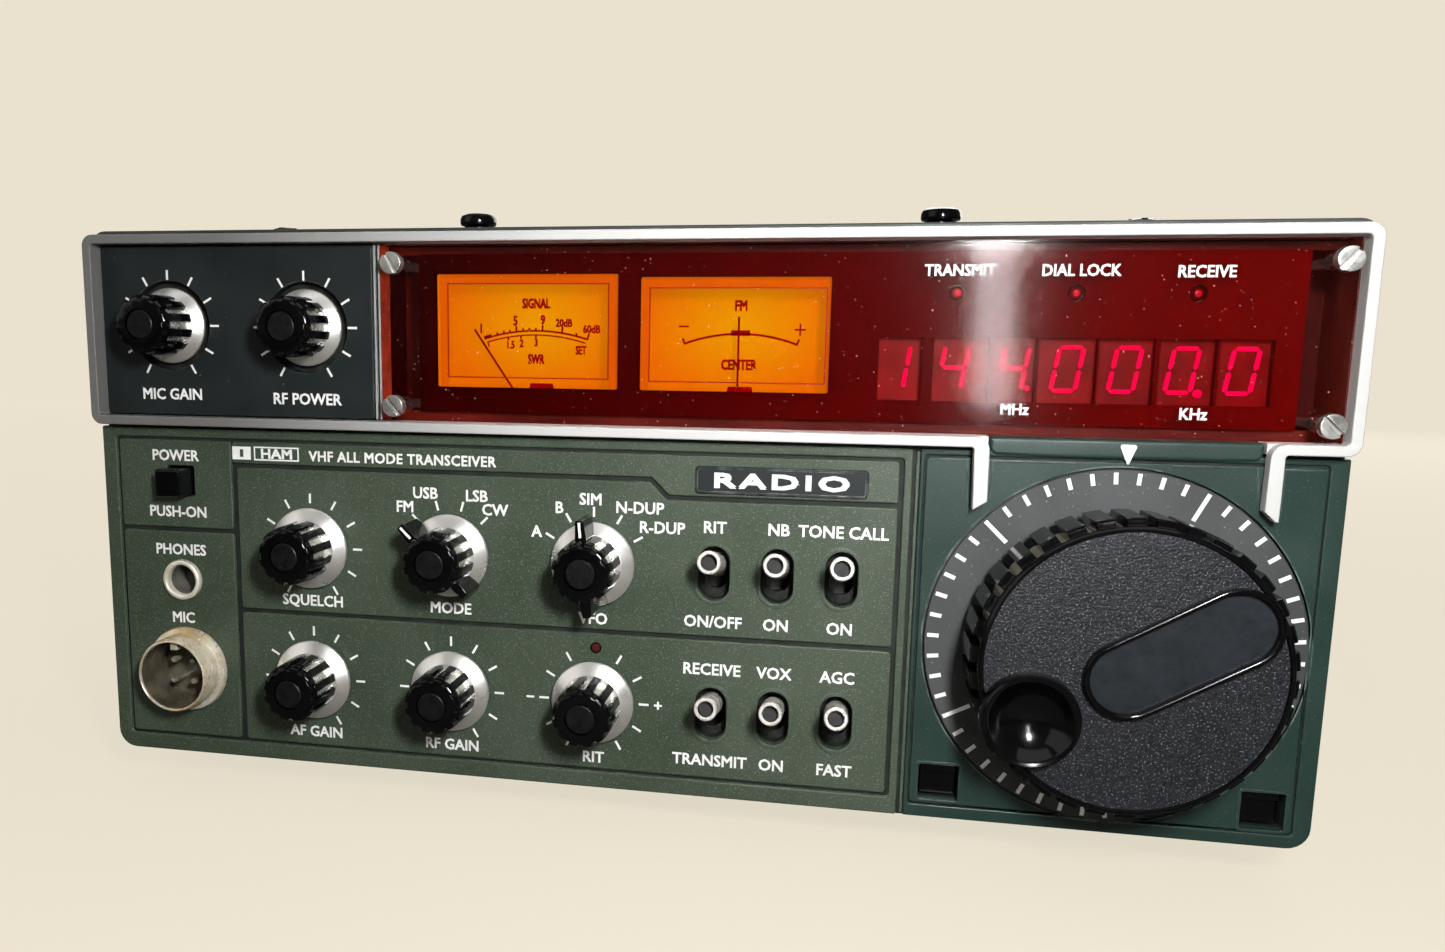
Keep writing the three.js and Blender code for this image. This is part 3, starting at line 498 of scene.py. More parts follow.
def band(centre, inner, outer, start, end, steps=24):
    """Part of a ring."""
    turns = [start + (end - start) * i / steps for i in range(steps + 1)]
    return [polar(centre, outer, a) for a in turns] + [polar(centre, inner, a) for a in reversed(turns)]


# ---------------------------------------------------------------- shapes: meshes in the frame's metres

def converted(curve, depth):
    """The mesh of a flat curve or of text, stood upright at a depth."""
    holder = bpy.data.objects.new("outline", curve)
    bpy.context.collection.objects.link(holder)
    graph = bpy.context.evaluated_depsgraph_get()
    mesh = bpy.data.meshes.new_from_object(holder.evaluated_get(graph), depsgraph=graph)
    bpy.data.objects.remove(holder)
    bpy.data.curves.remove(curve)
    mesh.transform(Matrix.Translation(at(0, depth, 0)) @ Matrix.Rotation(math.radians(90), 4, "X"))
    return mesh


def plate(loops, front, back, bevel=0.2, steps=2):
    """A flat plate between two depths: closed outlines, those inside another being its holes."""
    curve = bpy.data.curves.new("outline", "CURVE")
    curve.dimensions = "2D"
    curve.fill_mode = "BOTH"
    curve.extrude = ((back - front) / 2 - bevel) * MM
    curve.bevel_depth = bevel * MM
    curve.bevel_resolution = steps
    curve.offset = -bevel * MM
    for loop in loops:
        spline = curve.splines.new("POLY")
        spline.points.add(len(loop) - 1)
        for point, (x, z) in zip(spline.points, loop):
            point.co = (x * MM, z * MM, 0, 1)
        spline.use_cyclic_u = True
    return converted(curve, (front + back) / 2)


def printed(loops, depth=0.0):
    """Ink on a face at a depth: a skin 0.04 mm proud of it."""
    return plate(loops, depth - 0.05, depth - 0.01, bevel=0)


def lettering(text, cap, x, z, depth=0.0, weight=0.03, spread=1.0, wide=0.97):
    """Ink letters with capitals cap mm high, centred on (x, z), thickened by a share of that height."""
    curve = bpy.data.curves.new("letters", "FONT")
    curve.body = text
    curve.size = cap / CAPITAL * MM
    curve.align_x = "CENTER"
    curve.resolution_u = 2
    curve.space_character = spread
    curve.extrude = 0.02 * MM
    mesh = converted(curve, 0)
    mesh.transform(Matrix.Translation(-at(0, 0, 0)))
    mesh.transform(Matrix.Diagonal((wide, 1, 1, 1)))
    shift = weight * cap
    mesh.transform(Matrix.Translation(at(x - shift, depth - 0.03, z - cap / 2 - shift)))
    thick = bmesh.new()
    for across_mm, up_mm in ((0, 0), (2, 0), (0, 2), (-2, 0)):
        mesh.transform(Matrix.Translation(Vector((across_mm * shift, -0.002, up_mm * shift)) * MM))
        thick.from_mesh(mesh)
    thick.to_mesh(mesh)
    thick.free()
    return mesh


def capital_share():
    """How much of the font's size the height of a capital is."""
    curve = bpy.data.curves.new("letters", "FONT")
    curve.body = "H"
    mesh = converted(curve, 0)
    heights = [vertex.co.z for vertex in mesh.vertices]
    bpy.data.meshes.remove(mesh)
    return max(heights) - min(heights)


CAPITAL = capital_share()


def loft(rings):
    """A skin over rings of as many points each; a ring of one point closes an end."""
    build = bmesh.new()
    made = [[build.verts.new(point) for point in ring] for ring in rings]
    count = max(len(ring) for ring in rings)
    for near, far in zip(made, made[1:]):
        for i in range(count):
            corners = [near[i % len(near)], near[(i + 1) % len(near)], far[(i + 1) % len(far)],
                       far[i % len(far)]]
            build.faces.new(dict.fromkeys(corners))
    mesh = bpy.data.meshes.new("loft")
    build.to_mesh(mesh)
    build.free()
    return mesh


def revolve(profile, centre=(0, 0), segments=64):
    """A shape turned about a line along y: profile points are (radius, depth)."""
    rings = []
    for radius, depth in profile:
        spots = circle(centre, radius, segments) if radius else [centre]
        rings.append([at(x, depth, z) for x, z in spots])
    return loft(rings)


def fluted(sections, ribs, centre=(0, 0), phase=0.0, land=0.5, ramp=0.1):
    """A ribbed barrel: sections are (depth, radius between ribs, radius on ribs)."""
    shares = (-0.5, -land / 2 - ramp, -land / 2, -land / 6, land / 6, land / 2, land / 2 + ramp)
    rings = []
    for depth, valley, peak in sections:
        ring = []
        for rib in range(ribs):
            for share in shares:
                radius = peak if abs(share) <= land / 2 else valley
                x, z = polar(centre, radius, phase + (rib + share) * 360 / ribs)
                ring.append(at(x, depth, z))
        rings.append(ring)
    return loft(rings)


def moved(mesh, axis="X", angle=0.0, pivot=(0, 0, 0), shift=(0, 0, 0)):
    """The mesh turned about a point, then shifted."""
    centre = Matrix.Translation(at(*pivot))
    turn = centre @ Matrix.Rotation(math.radians(angle), 4, axis) @ centre.inverted()
    mesh.transform(Matrix.Translation(Vector(shift) * MM) @ turn)
    return mesh


def make(name, parts, body="radio", replaces=(), sharp=35.0):
    """One piece of the set, out of (shape, finish) parts."""
    kinds = list(dict.fromkeys(kind for _, kind in parts))
    joined = bmesh.new()
    for shape, kind in parts:
        clean = bmesh.new()
        clean.from_mesh(shape)
        bmesh.ops.remove_doubles(clean, verts=clean.verts, dist=1e-7)
        bmesh.ops.recalc_face_normals(clean, faces=clean.faces)
        for face in clean.faces:
            face.material_index = kinds.index(kind)
        clean.to_mesh(shape)
        clean.free()
        joined.from_mesh(shape)
        bpy.data.meshes.remove(shape)
    mesh = bpy.data.meshes.new(name)
    joined.to_mesh(mesh)
    joined.free()
    for kind in kinds:
        mesh.materials.append(MATERIALS[kind])
    mesh.shade_smooth()
    mesh.set_sharp_from_angle(angle=math.radians(sharp))
    piece = bpy.data.objects.new(name, mesh)
    bpy.context.collection.objects.link(piece)
    weighted = piece.modifiers.new("weighted_normals", "WEIGHTED_NORMAL")
    weighted.keep_sharp = True
    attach(piece, body)
    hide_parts(*replaces)
    return piece


# ---------------------------------------------------------------- front panel

PANEL_TOP = 71.2
KNOB_JOINTS = ("squelch_turn", "mode_turn", "vfo_turn", "af_gain_turn", "rf_gain_turn", "rit_turn")
SWITCH_JOINTS = ("rit_switch", "noise_blanker_switch", "tone_call_switch",
                 "transmit_switch", "vox_switch", "agc_switch")
DIAL_HUB = hub("dial_turn")
KNOB_HOLE, RING_ROOM, JACK_HOLE, MIC_HOLE = 3.9, 33.5, 4.4, 8.4


def over(node, margin=0.0, radius=0.4):
    """The outline of a CAD node's box seen from the front, grown by a margin."""
    x0, _, z0 = local(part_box(node)[0])
    x1, _, z1 = local(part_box(node)[1])
    return rectangle(x0 - margin, z0 - margin, x1 + margin, z1 + margin, radius)


def seen(node):
    """Where the middle of a CAD node lies on the front plane."""
    x, _, z = middle(node)
    return x, z


def add_front_panel():
    knob_holes = {joint: circle(hub(joint), KNOB_HOLE, 32) for joint in KNOB_JOINTS}
    switch_holes = {joint: stadium(hub(joint), 6.2, 10.8) for joint in SWITCH_JOINTS}
    power = over("power_button", 0.3)
    jack = circle(seen("phones_jack"), JACK_HOLE, 48)
    mic = circle(seen("mic_socket"), MIC_HOLE, 64)
    buttons = [over("left_push_button", 0.35), over("right_push_button", 0.35)]
    ring_room = circle(DIAL_HUB, RING_ROOM, 160)

    floor = [rounded([(-120.5, 0, 4), (120.5, 0, 4), (120.5, PANEL_TOP), (-120.5, PANEL_TOP)]),
             power, jack, mic, ring_room, *buttons, *knob_holes.values(), *switch_holes.values()]
    border = [rounded([(-120.5, 0, 4), (47.6, 0, 0.3), (47.6, PANEL_TOP, 0.3), (-120.5, PANEL_TOP, 0.3)]),
              rectangle(-117.3, 3.4, 46.1, 69.2, 0.9)]
    tiles = [
        [rectangle(-116.6, 49.95, -90.7, 68.6, 0.7), power],
        [rectangle(-116.6, 4.1, -90.7, 49.05, 0.7), jack, mic],
        [rounded([(-90.3, 64.1, 0.5), (-1.3, 64.1, 0.5), (2.1, 60.7, 0.5), (45.3, 60.7, 0.5),
                  (45.3, 68.6, 0.7), (-90.3, 68.6, 0.7)])],
        [rounded([(-89.4, 33.15, 0.7), (45.3, 33.15, 0.7), (45.3, 59.8, 0.5), (1.7, 59.8, 0.5),
                  (-1.7, 63.2, 0.5), (-89.4, 63.2, 0.5)]),
         *[knob_holes[j] for j in KNOB_JOINTS[:3]], *[switch_holes[j] for j in SWITCH_JOINTS[:3]]],
        [rectangle(-89.4, 4.1, 45.3, 32.25, 0.7),
         *[knob_holes[j] for j in KNOB_JOINTS[3:]], *[switch_holes[j] for j in SWITCH_JOINTS[3:]]],
    ]
    parts = [(plate(floor, 0.6, 4.0, 0.05, 1), "groove"), (plate(border, 0, 2, 0.3), "green"),
             # a near-black strip behind the gap under the bezel: painted shadow
             (plate([rectangle(-120.0, 70.9, 120.0, 71.9)], 1.6, 3.9, 0.05, 1), "painted_shade")]
    parts += [(plate(tile, 0, 2, 0.25), "green") for tile in tiles]
    make("front_panel_face", parts, replaces=["front_panel"])

    rims = [(plate([stadium(hub(j), 7.9, 12.5), stadium(hub(j), 6.2, 10.8)], -0.18, 0.5, 0.15), "green")
            for j in SWITCH_JOINTS]
    # near-black plates behind the switch slots: painted shade
    slot_shade_plates = [(plate([stadium(hub(j), 7.4, 12.0), stadium(hub(j), 4.6, 7.4)], 4.0, 4.4, 0.1), "painted_shade")
              for j in SWITCH_JOINTS]
    make("switch_slot_rims", rims + slot_shade_plates)

    strip = rectangle(48.2, 0.4, 48.8, 70.6, 0.2)
    bay_border = [rounded([(48.9, 0, 0.3), (120.5, 0, 4), (120.5, PANEL_TOP, 0.3), (48.9, PANEL_TOP, 0.3)]),
                  rectangle(49.7, 2.5, 117.4, 70.0, 0.8)]
    bay = [rectangle(50.0, 2.8, 117.1, 69.6, 0.8), ring_room, *buttons]
    well = [circle(DIAL_HUB, RING_ROOM + 1, 160), circle(DIAL_HUB, 6.4, 48)]
    make("dial_bay_face", [
        (plate([strip], 0.1, 1, 0.15), "green"),
        (plate(bay_border, 0.05, 2, 0.3), "teal"),
        (plate(bay, 0.05, 2, 0.2), "teal"),
        (plate(well, 1.15, 4, 0.05, 1), "ring"),
    ])

    relief = [
        strokes([(50.4, 69.3), (57.2, 69.3), (57.6, 58.2)], 0.3),
        strokes([(61.6, 61.3), (61.6, 69.2), (75.8, 69.2)], 0.3),
        strokes([(92.0, 69.2), (105.9, 69.2), (106.6, 61.2)], 0.3),
        strokes([(116.8, 69.1), (110.2, 69.1), (110.0, 57.4)], 0.3),
    ]
    moulding = rounded([(60.9, 70.4, 1.5), (74.5, 70.1, 1), (93.5, 70.1, 1), (106.5, 70.4, 1.5),
                        (106.5, 73.6, 0.4), (60.9, 73.6, 0.4)])
    raised = [(plate([line], -0.1, 0.3, 0.08, 1), "teal") for lines in relief for line in lines]
    lips = [(plate([over(node, 0.95, 0.8), over(node, 0.35)], -0.15, 0.4, 0.12), "teal")
            for node in ("left_push_button", "right_push_button")]
    make("dial_bay_mouldings", raised + lips + [(plate([moulding], -0.35, 4, 0.6, 3), "teal")])


# ---------------------------------------------------------------- legends

def angles(first, last, step):
    return range(first, last + 1, step)


LEGEND_CAP, TITLE_CAP = 2.2, 2.0
TICK_RING, TICK_WIDTH = (9.3, 11.3), 0.45
SIGN_REACH, SIGN_HALF, SIGN_WIDTH = 13.2, 0.8, 0.4  # the minus and the plus beside the RIT knob


def add_legends():
    squelch, mode, vfo, af, rf, rit = (hub(joint) for joint in KNOB_JOINTS)
    mic_gain, rf_power = hub("mic_gain_turn"), hub("rf_power_turn")
    cap = LEGEND_CAP
    under = [("SQUELCH", squelch, -11.3), ("MODE", mode, -11.1), ("VFO", vfo, -11.2), ("AF GAIN", af, -11.7),
             ("RF GAIN", rf, -11.8), ("RIT", rit, -11.75), ("MIC GAIN", mic_gain, -14.1),
             ("RF POWER", rf_power, -14.4)]
    parts = [lettering(text, cap, x, z + drop) for text, (x, z), drop in under]
    pairs = [("RIT", "ON/OFF"), ("NB", "ON"), ("TONE CALL", "ON"),
             ("RECEIVE", "TRANSMIT"), ("VOX", "ON"), ("AGC", "FAST")]
    for joint, (upper, lower) in zip(SWITCH_JOINTS, pairs):
        x, z = hub(joint)
        parts += [lettering(upper, cap, x, z + 9.1), lettering(lower, cap, x, z - 9.6)]
    around = [(mode, (("FM", 135, 13.5), ("USB", 112.5, 13.5), ("LSB", 65, 13.5), ("CW", 45, 13.5))),
              (vfo, (("A", 153, 13.1), ("B", 123, 13.0), ("SIM", 93, 12.8), ("N-DUP", 51.4, 14.6),
                     ("R-DUP", 29.5, 15.6)))]
    for centre, labels in around:
        parts += [lettering(text, cap, *polar(centre, reach, angle)) for text, angle, reach in labels]
    parts += [lettering("POWER", cap, -103.5, 65.4), lettering("PUSH-ON", cap, -103.4, 53.4),
              lettering("PHONES", cap, -103.2, 45.2), lettering("MIC", cap, -103.3, 30.3),
              lettering("VHF ALL MODE TRANSCEIVER", TITLE_CAP, -52.85, 66.1, weight=0.035, spread=1.06),
              lettering("HAM", 1.9, -80.2, 66.3, weight=0.05, wide=1.2)]

    ticks = []
    for centre, turns in ((squelch, angles(-60, 240, 30)), (mode, (135, 105, 75, 45)),
                          (vfo, angles(30, 150, 30)), (af, angles(-60, 240, 30)), (rf, angles(-60, 240, 30)),
                          (rit, (-60, -30, 0, 30, 60, 120, 150, 180, 210, 240)),
                          (mic_gain, angles(-60, 240, 30)), (rf_power, angles(-60, 240, 30))):
        ticks += [ray(centre, *TICK_RING, angle, TICK_WIDTH) for angle in turns]
    for side in (-1, 1):
        x, z = rit[0] + side * SIGN_REACH, rit[1]
        ticks.append(stroke((x - SIGN_HALF, z), (x + SIGN_HALF, z), SIGN_WIDTH))
    parts += [printed([tick]) for tick in ticks]
    parts.append(printed([stroke((x, z + side * 0.21), (x, z + side * SIGN_HALF), SIGN_WIDTH)
                          for side in (1, -1)]))
    parts.append(printed([rectangle(-90.2, 64.95, -86.0, 67.65), rectangle(-88.5, 65.5, -87.7, 67.1)]))
    parts.append(printed([rectangle(-85.3, 64.85, -75.2, 67.75), rectangle(-85.0, 65.15, -75.5, 67.45)]))
    make("panel_legends", [(part, "white") for part in parts])

    pointer = rounded([(82.9, 72.8, 0.4), (86.0, 72.8, 0.4), (84.5, 69.0, 0.2)])
    make("dial_pointer", [(plate([pointer], -0.55, -0.3, 0.03, 1), "white")])

    glass = -0.2
    window_words = [("TRANSMIT", 54.0, 103.25), ("DIAL LOCK", 74.4, 103.2), ("RECEIVE", 94.8, 102.95),
                    ("MHz", 64.7, 78.7), ("KHz", 94.5, 78.45)]
    make("window_legends", [(lettering(text, 1.95, x, z, glass, wide=0.9), "white")
                            for text, x, z in window_words])

    badge = [(plate([rectangle(7.2, 61.3, 39.8, 66.7, 0.8)], -0.45, 0.6, 0.25), "gain"),
             (plate([rectangle(7.4, 61.5, 39.6, 66.5, 0.6), rectangle(7.7, 61.8, 39.3, 66.2, 0.5)],
                    -0.52, -0.3, 0.08, 1), "gain"),
             (lettering("RADIO", 2.6, 23.5, 64.0, -0.47, weight=0.07, spread=1.2, wide=1.95), "white")]
    make("name_badge", badge)
    x, z = rit[0] + 0.4, 29.4
    make("rit_lamp", [(revolve([(0.85, 0.1), (0.85, -0.1), (0.6, -0.35), (0, -0.45)], (x, z), 24),
                       "dark_red"),
                      (revolve([(1.15, 0.1), (1.15, -0.05), (0.85, -0.06)], (x, z), 24), "black")])


# ---------------------------------------------------------------- bezel and the black gain panel

def add_bezel():
    edge = 73.7
    corners = [(-120.8, 71.8, 2.3), (-120.8, 110.7, 2.3), (120.8, 110.7, 2.3), (120.8, 71.8, 2.3)]
    inside = [(118.9, edge, 0.8), (118.9, 108.8, 0.8), (-118.9, 108.8, 0.8), (-118.9, edge, 0.8)]
    outline = rounded([*corners, (109.1, 71.8, 0.6), (109.0, 60.2), (108.4, 60.2), (106.6, 62.0),
                       (106.8, edge, 2.4), *inside, (60.6, edge, 2.4), (60.7, 62.0), (58.2, 60.4),
                       (57.9, 71.8, 0.6)])
    rear = rounded([*corners, (106.8, 71.8), (106.8, edge), *inside, (60.6, edge), (60.6, 71.8)])
    make("bezel_face", [(plate([outline], -2.9, -0.3, 0.25, 3), "silver"),
                        (plate([rear], -0.5, 4, 0.1, 1), "silver")],
         replaces=["bezel_frame"])
    lip = rounded([(-119.9, 100), (-119.9, 111.55, 3), (120.7, 111.55, 3), (120.7, 100), (119.6, 100),
                   (119.6, 110.4, 2), (-119.0, 110.4, 2), (-119.0, 100)])
    make("cover_front_lip", [(plate([lip], -0.9, 4.0, 0.3, 2), "lip")])


def add_gain_panel():
    holes = [circle(hub(joint), 9.1) for joint in ("mic_gain_turn", "rf_power_turn")]
    sheet = [rectangle(-118.6, 74.0, -58.3, 108.5, 0.6), *holes]
    # near-black rings in the gain knobs' holes: painted shade
    hole_shade_rings = [(plate([circle(hub(joint), 9.1), circle(hub(joint), 3.9)], 2.3, 3.2, 0.1), "painted_shade")
               for joint in ("mic_gain_turn", "rf_power_turn")]
    trims = [(plate([rectangle(x - 0.16, 74.0, x + 0.16, 108.5)], 0.2, 2.0, 0.05, 1), "silver")
             for x in (-57.9, -56.95)]
    backing = (plate([rectangle(-58.4, 74.0, -56.6, 108.5)], 0.6, 2.0, 0.05, 1), "gain")
    make("gain_panel_face", [(plate(sheet, 0, 2.5, 0.25), "gain"), *hole_shade_rings, *trims, backing],
         replaces=["gain_panel"])


# ---------------------------------------------------------------- knobs, levers, buttons, sockets

POINTERS = {"mode": 135.0, "vfo": 95.0}


def add_knob(name, sunk=0.0, girth=1.0):
    """A turned silver skirt, a bright core and a black ribbed grip with a grained cap."""
    centre = hub(name + "_turn")

    def turned(profile, segments=64):
        return revolve([(radius, depth + sunk) for radius, depth in profile], centre, segments)

    grip = [(-2.8, 4.4, 4.4), (-2.8, 4.6, 5.8), (-3.1, 4.7, 6.1), (-9.0, 4.7, 6.0), (-9.7, 5.35, 6.0),
            (-11.1, 5.3, 5.85), (-11.65, 5.1, 5.5), (-11.9, 4.8, 5.0), (-11.95, 4.5, 4.5),
            (-11.95, 3.15, 3.15), (-11.4, 3.05, 3.05), (-11.4, 2.7, 2.7)]
    parts = [
        (turned([(3.0, -0.7), *((radius * girth, depth) for radius, depth in (
            (8.2, -0.7), (8.4, -0.9), (8.4, -1.3), (8.2, -1.55), (6.2, -2.85), (6.0, -2.9))), (4.6, -2.9)]),
         "skirt"),
        (turned([(5.15, -2.8), (5.15, -9.8)]), "chrome"),
        (fluted([(depth + sunk, valley, peak) for depth, valley, peak in grip], 12, centre, 15, 0.5, 0.07),
         "black"),
        (turned([(2.85, -11.3), (2.8, -11.85), (2.6, -12.0), (0, -12.05)]), "cap"),
        (turned([(3.0, -1.0), (3.0, 11.0), (0, 11.0)], 24), "steel"),
    ]
    pointer = POINTERS.get(name)
    if pointer is not None:
        for turn, reach in ((pointer, 9.9), (pointer + 180, 9.0)):
            side = Vector(polar((0, 0), 1, turn + 90))
            near, far = Vector(polar(centre, 4, turn)), Vector(polar(centre, reach, turn))
            outline = rounded([(*(near - side * 1.3),), (*(far - side * 0.8), 0.4),
                               (*(far + side * 0.8), 0.4), (*(near + side * 1.3),)], 3)
            parts.append((plate([outline], -9.5, -1.5, 0.3), "black"))
        mark = [ray(centre, 6.6, 9.5, pointer, 0.5)]
        parts.append((printed(mark, -9.5), "white"))
    make(name + "_knob_grip", parts, name + "_knob", [name + "_knob"])


def add_lever(name):
    """A hollow bat lever, tipped up at rest."""
    centre = hub(name + "_switch")
    tube = revolve([(0, 10.2), (1.7, 10.0), (2.4, 8.6), (2.4, 7.0), (1.75, 5.0), (1.9, 3.2), (2.2, 1.6),
                    (2.25, 0.6), (2.25, -9.1), (2.17, -9.38), (2.0, -9.5), (1.65, -9.5), (1.5, -9.35)],
                   centre, 40)
    bore = revolve([(1.5, -9.35), (1.45, -9.0), (1.42, -7.9), (0, -7.9)], centre, 40)
    # the bore is dark grey: painted shade inside the hollow lever
    parts = [(moved(shape, "X", -11.5, (centre[0], 10, centre[1])), kind)
             for shape, kind in ((tube, "lever"), (bore, "core"))]
    make(name + "_lever_bat", parts, name + "_lever", [name + "_toggle"])


def add_buttons():
    power = [(plate([over("power_button", 0, 0.6)], -5.0, 6.0, 0.55, 4), "black")]
    make("power_button_cap", power, "power_button", ["power_button"])
    for side in ("left", "right"):
        node = side + "_push_button"
        x0, _, z0 = local(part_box(node)[0])
        x1, _, z1 = local(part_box(node)[1])
        ledge = z1 - (z1 - z0) * 0.27
        make(node + "_cap", [
            (plate([rectangle(x0, ledge, x1, z1, 0.3)], 1.4, 8, 0.25, 3), "black"),
            (plate([rectangle(x0, z0, x1, ledge, 0.3)], 2.2, 8, 0.25, 3), "black"),
        ], node, [node])


def add_sockets():
    jack = seen("phones_jack")
    make("phones_jack_ring", [
        (revolve([(5.2, 4.4), (4.35, 4.4), (4.35, -0.55), (4.2, -0.85), (3.95, -1.0), (3.6, -0.98),
                  (3.35, -0.75), (3.25, -0.3), (3.2, 0.6)], jack), "nickel"),
        (revolve([(3.2, 0.6), (3.15, 6.5), (1.9, 8.0)], jack), "jack_bore"),
        # the deep bore in near black: painted shade
        (revolve([(1.9, 8.0), (1.9, 25.5), (0, 25.5)], jack), "painted_shade"),
    ], replaces=["phones_jack"])
    mic = seen("mic_socket")
    pins = [(revolve([(0.7, 3.0), (0.7, -2.0), (0.5, -2.4), (0, -2.5)], polar(mic, 3.2, angle), 20), "brass")
            for angle in (45, 135, 225, 315)]
    threads = [(7.95 - 0.12 * (i % 2), -2.4 - 0.3 * i) for i in range(13)]
    make("mic_socket_shell", [
        (revolve([(8.3, 4.0), (8.3, -0.3), (9.2, -0.3), (9.25, -0.8), (9.0, -1.3), (8.1, -1.6), (8.0, -2.2),
                  *threads, (7.8, -6.4), (7.65, -6.7), (7.45, -6.8), (7.3, -6.7), (7.2, -6.3)], mic, 80),
         "tarnish"),
        (revolve([(7.2, -6.3), (7.1, 2.9), (0, 3.0)], mic), "cavity"),
        *pins,
        (plate([centred((mic[0], mic[1] + 6.1), 1.6, 1.6, 0.2)], -5.5, 3.0, 0.15), "tarnish"),
    ], replaces=["mic_socket"])


# ---------------------------------------------------------------- dial

def add_dial():
    teeth = 34
    phase = 81.6
    skirt = [(-1.0, 12, 12), (-2.6, 23.4, 23.4), (-2.9, 24.0, 25.7), (-3.3, 24.0, 26.35),
             (-14.2, 24.0, 26.35), (-14.8, 24.1, 26.0), (-15.1, 24.4, 25.3), (-15.25, 25.05, 25.15),
             (-15.9, 25.15, 25.15), (-16.3, 24.95, 24.95), (-16.5, 24.6, 24.6), (-16.45, 24.3, 24.3),
             (-16.05, 24.05, 24.05)]
    cup_centre = polar(DIAL_HUB, 18.5, 209.5)
    face = [circle(DIAL_HUB, 24.2, 160), circle(cup_centre, 8.2)]
    cup = [(8.3, -15.4), (8.45, -16.2), (8.4, -17.6), (8.15, -18.35), (7.8, -18.6), (7.35, -18.5),
           (6.9, -18.1), (6.0, -16.9), (4.6, -15.7), (2.8, -14.9), (1.2, -14.6), (0, -14.5)]
    near = (DIAL_HUB[0] - 1.1, DIAL_HUB[1] - 1.1)
    far = (DIAL_HUB[0] + 15.6, DIAL_HUB[1] + 8.8)
    make("main_dial_knob", [
        (fluted(skirt, teeth, DIAL_HUB, phase, 0.62, 0.06), "black"),
        (revolve([(24.08, -3.2), (24.1, -14.75)], DIAL_HUB, 160), "flute"),
        (plate(face, -16.1, -15.0, 0.05, 1), "leather"),
        (revolve(cup, cup_centre, 80), "black"),
        (plate([capsule(near, far, 6.95), capsule(near, far, 5.85)], -17.55, -15.9, 0.5, 4), "black"),
        (plate([capsule(near, far, 6.0)], -16.35, -15.9, 0.05, 1), "inlay"),
    ], "dial", ["main_dial"])
    ticks = []
    for i in range(50):
        long_one = i % 10 == 0
        ticks.append(ray(DIAL_HUB, 27.0 if long_one else 30.3, 32.4, 63.57 + 7.2 * i, 0.75))
    make("dial_scale", [
        (revolve([(8, 0.75), (8, -0.15), (32.7, -0.15), (32.9, 0.05), (32.9, 0.75), (8, 0.75)],
                 DIAL_HUB, 160), "ring"),
        *[(printed([tick], -0.15), "white") for tick in ticks],
    ], "dial", ["dial_ring"])


# ---------------------------------------------------------------- display

METER_APERTURES = {"signal": (-46.6, 80.7, -9.2, 103.1), "centre": (-4.85, 80.7, 31.5, 102.5)}
DIGIT_BAYS = ((40.66, 48.45), (50.6, 60.36), (60.71, 68.55), (69.07, 79.0), (79.34, 88.73), (89.57, 98.94),
              (99.43, 108.15))
BAY_Z = (79.7, 91.4)
READING = ("1", "4", "4", "0", "0", "0", "0")
DIGIT_X = (43.8, 54.3, 65.0, 74.4, 84.3, 93.9, 103.8)
DIGIT_Z = 85.9
SEGMENTS = {"0": "abcdef", "1": "bc", "4": "bcfg"}
LAMPS = ((54.2, 99.5), (74.8, 99.5), (95.0, 99.4))
SCALE_DEPTH = 12.7
METER_LINES = {"signal": (-44.7, 82.55, -11.3, 101.4), "centre": (-3.3, 82.3, 30.9, 100.6)}
METER_BRACKETS = {"signal": 1.9, "centre": 0.6}


def digit(figure, x, z, height=7.9, width=4.2, lean=0.15, thick=0.84):
    """The lit segments of one figure, as outlines."""
    half_w, half_h, air = width / 2, height / 2, 0.1
    ends = {"a": ((-1, 1), (1, 1)), "b": ((1, 0), (1, 1)), "c": ((1, -1), (1, 0)), "d": ((-1, -1), (1, -1)),
            "e": ((-1, -1), (-1, 0)), "f": ((-1, 0), (-1, 1)), "g": ((-1, 0), (1, 0))}
    loops = []
    for segment in SEGMENTS[figure]:
        start, end = (Vector((u * half_w, v * half_h)) for u, v in ends[segment])
        along = (end - start).normalized()
        side = Vector((-along.y, along.x)) * thick / 2
        start, end = start + along * air, end - along * air
        tip = along * thick / 2
        points = [start, start + tip - side, end - tip - side, end, end - tip + side, start + tip + side]
        loops.append([(x + p.x + lean * p.y, z + p.y) for p in points])
    return loops


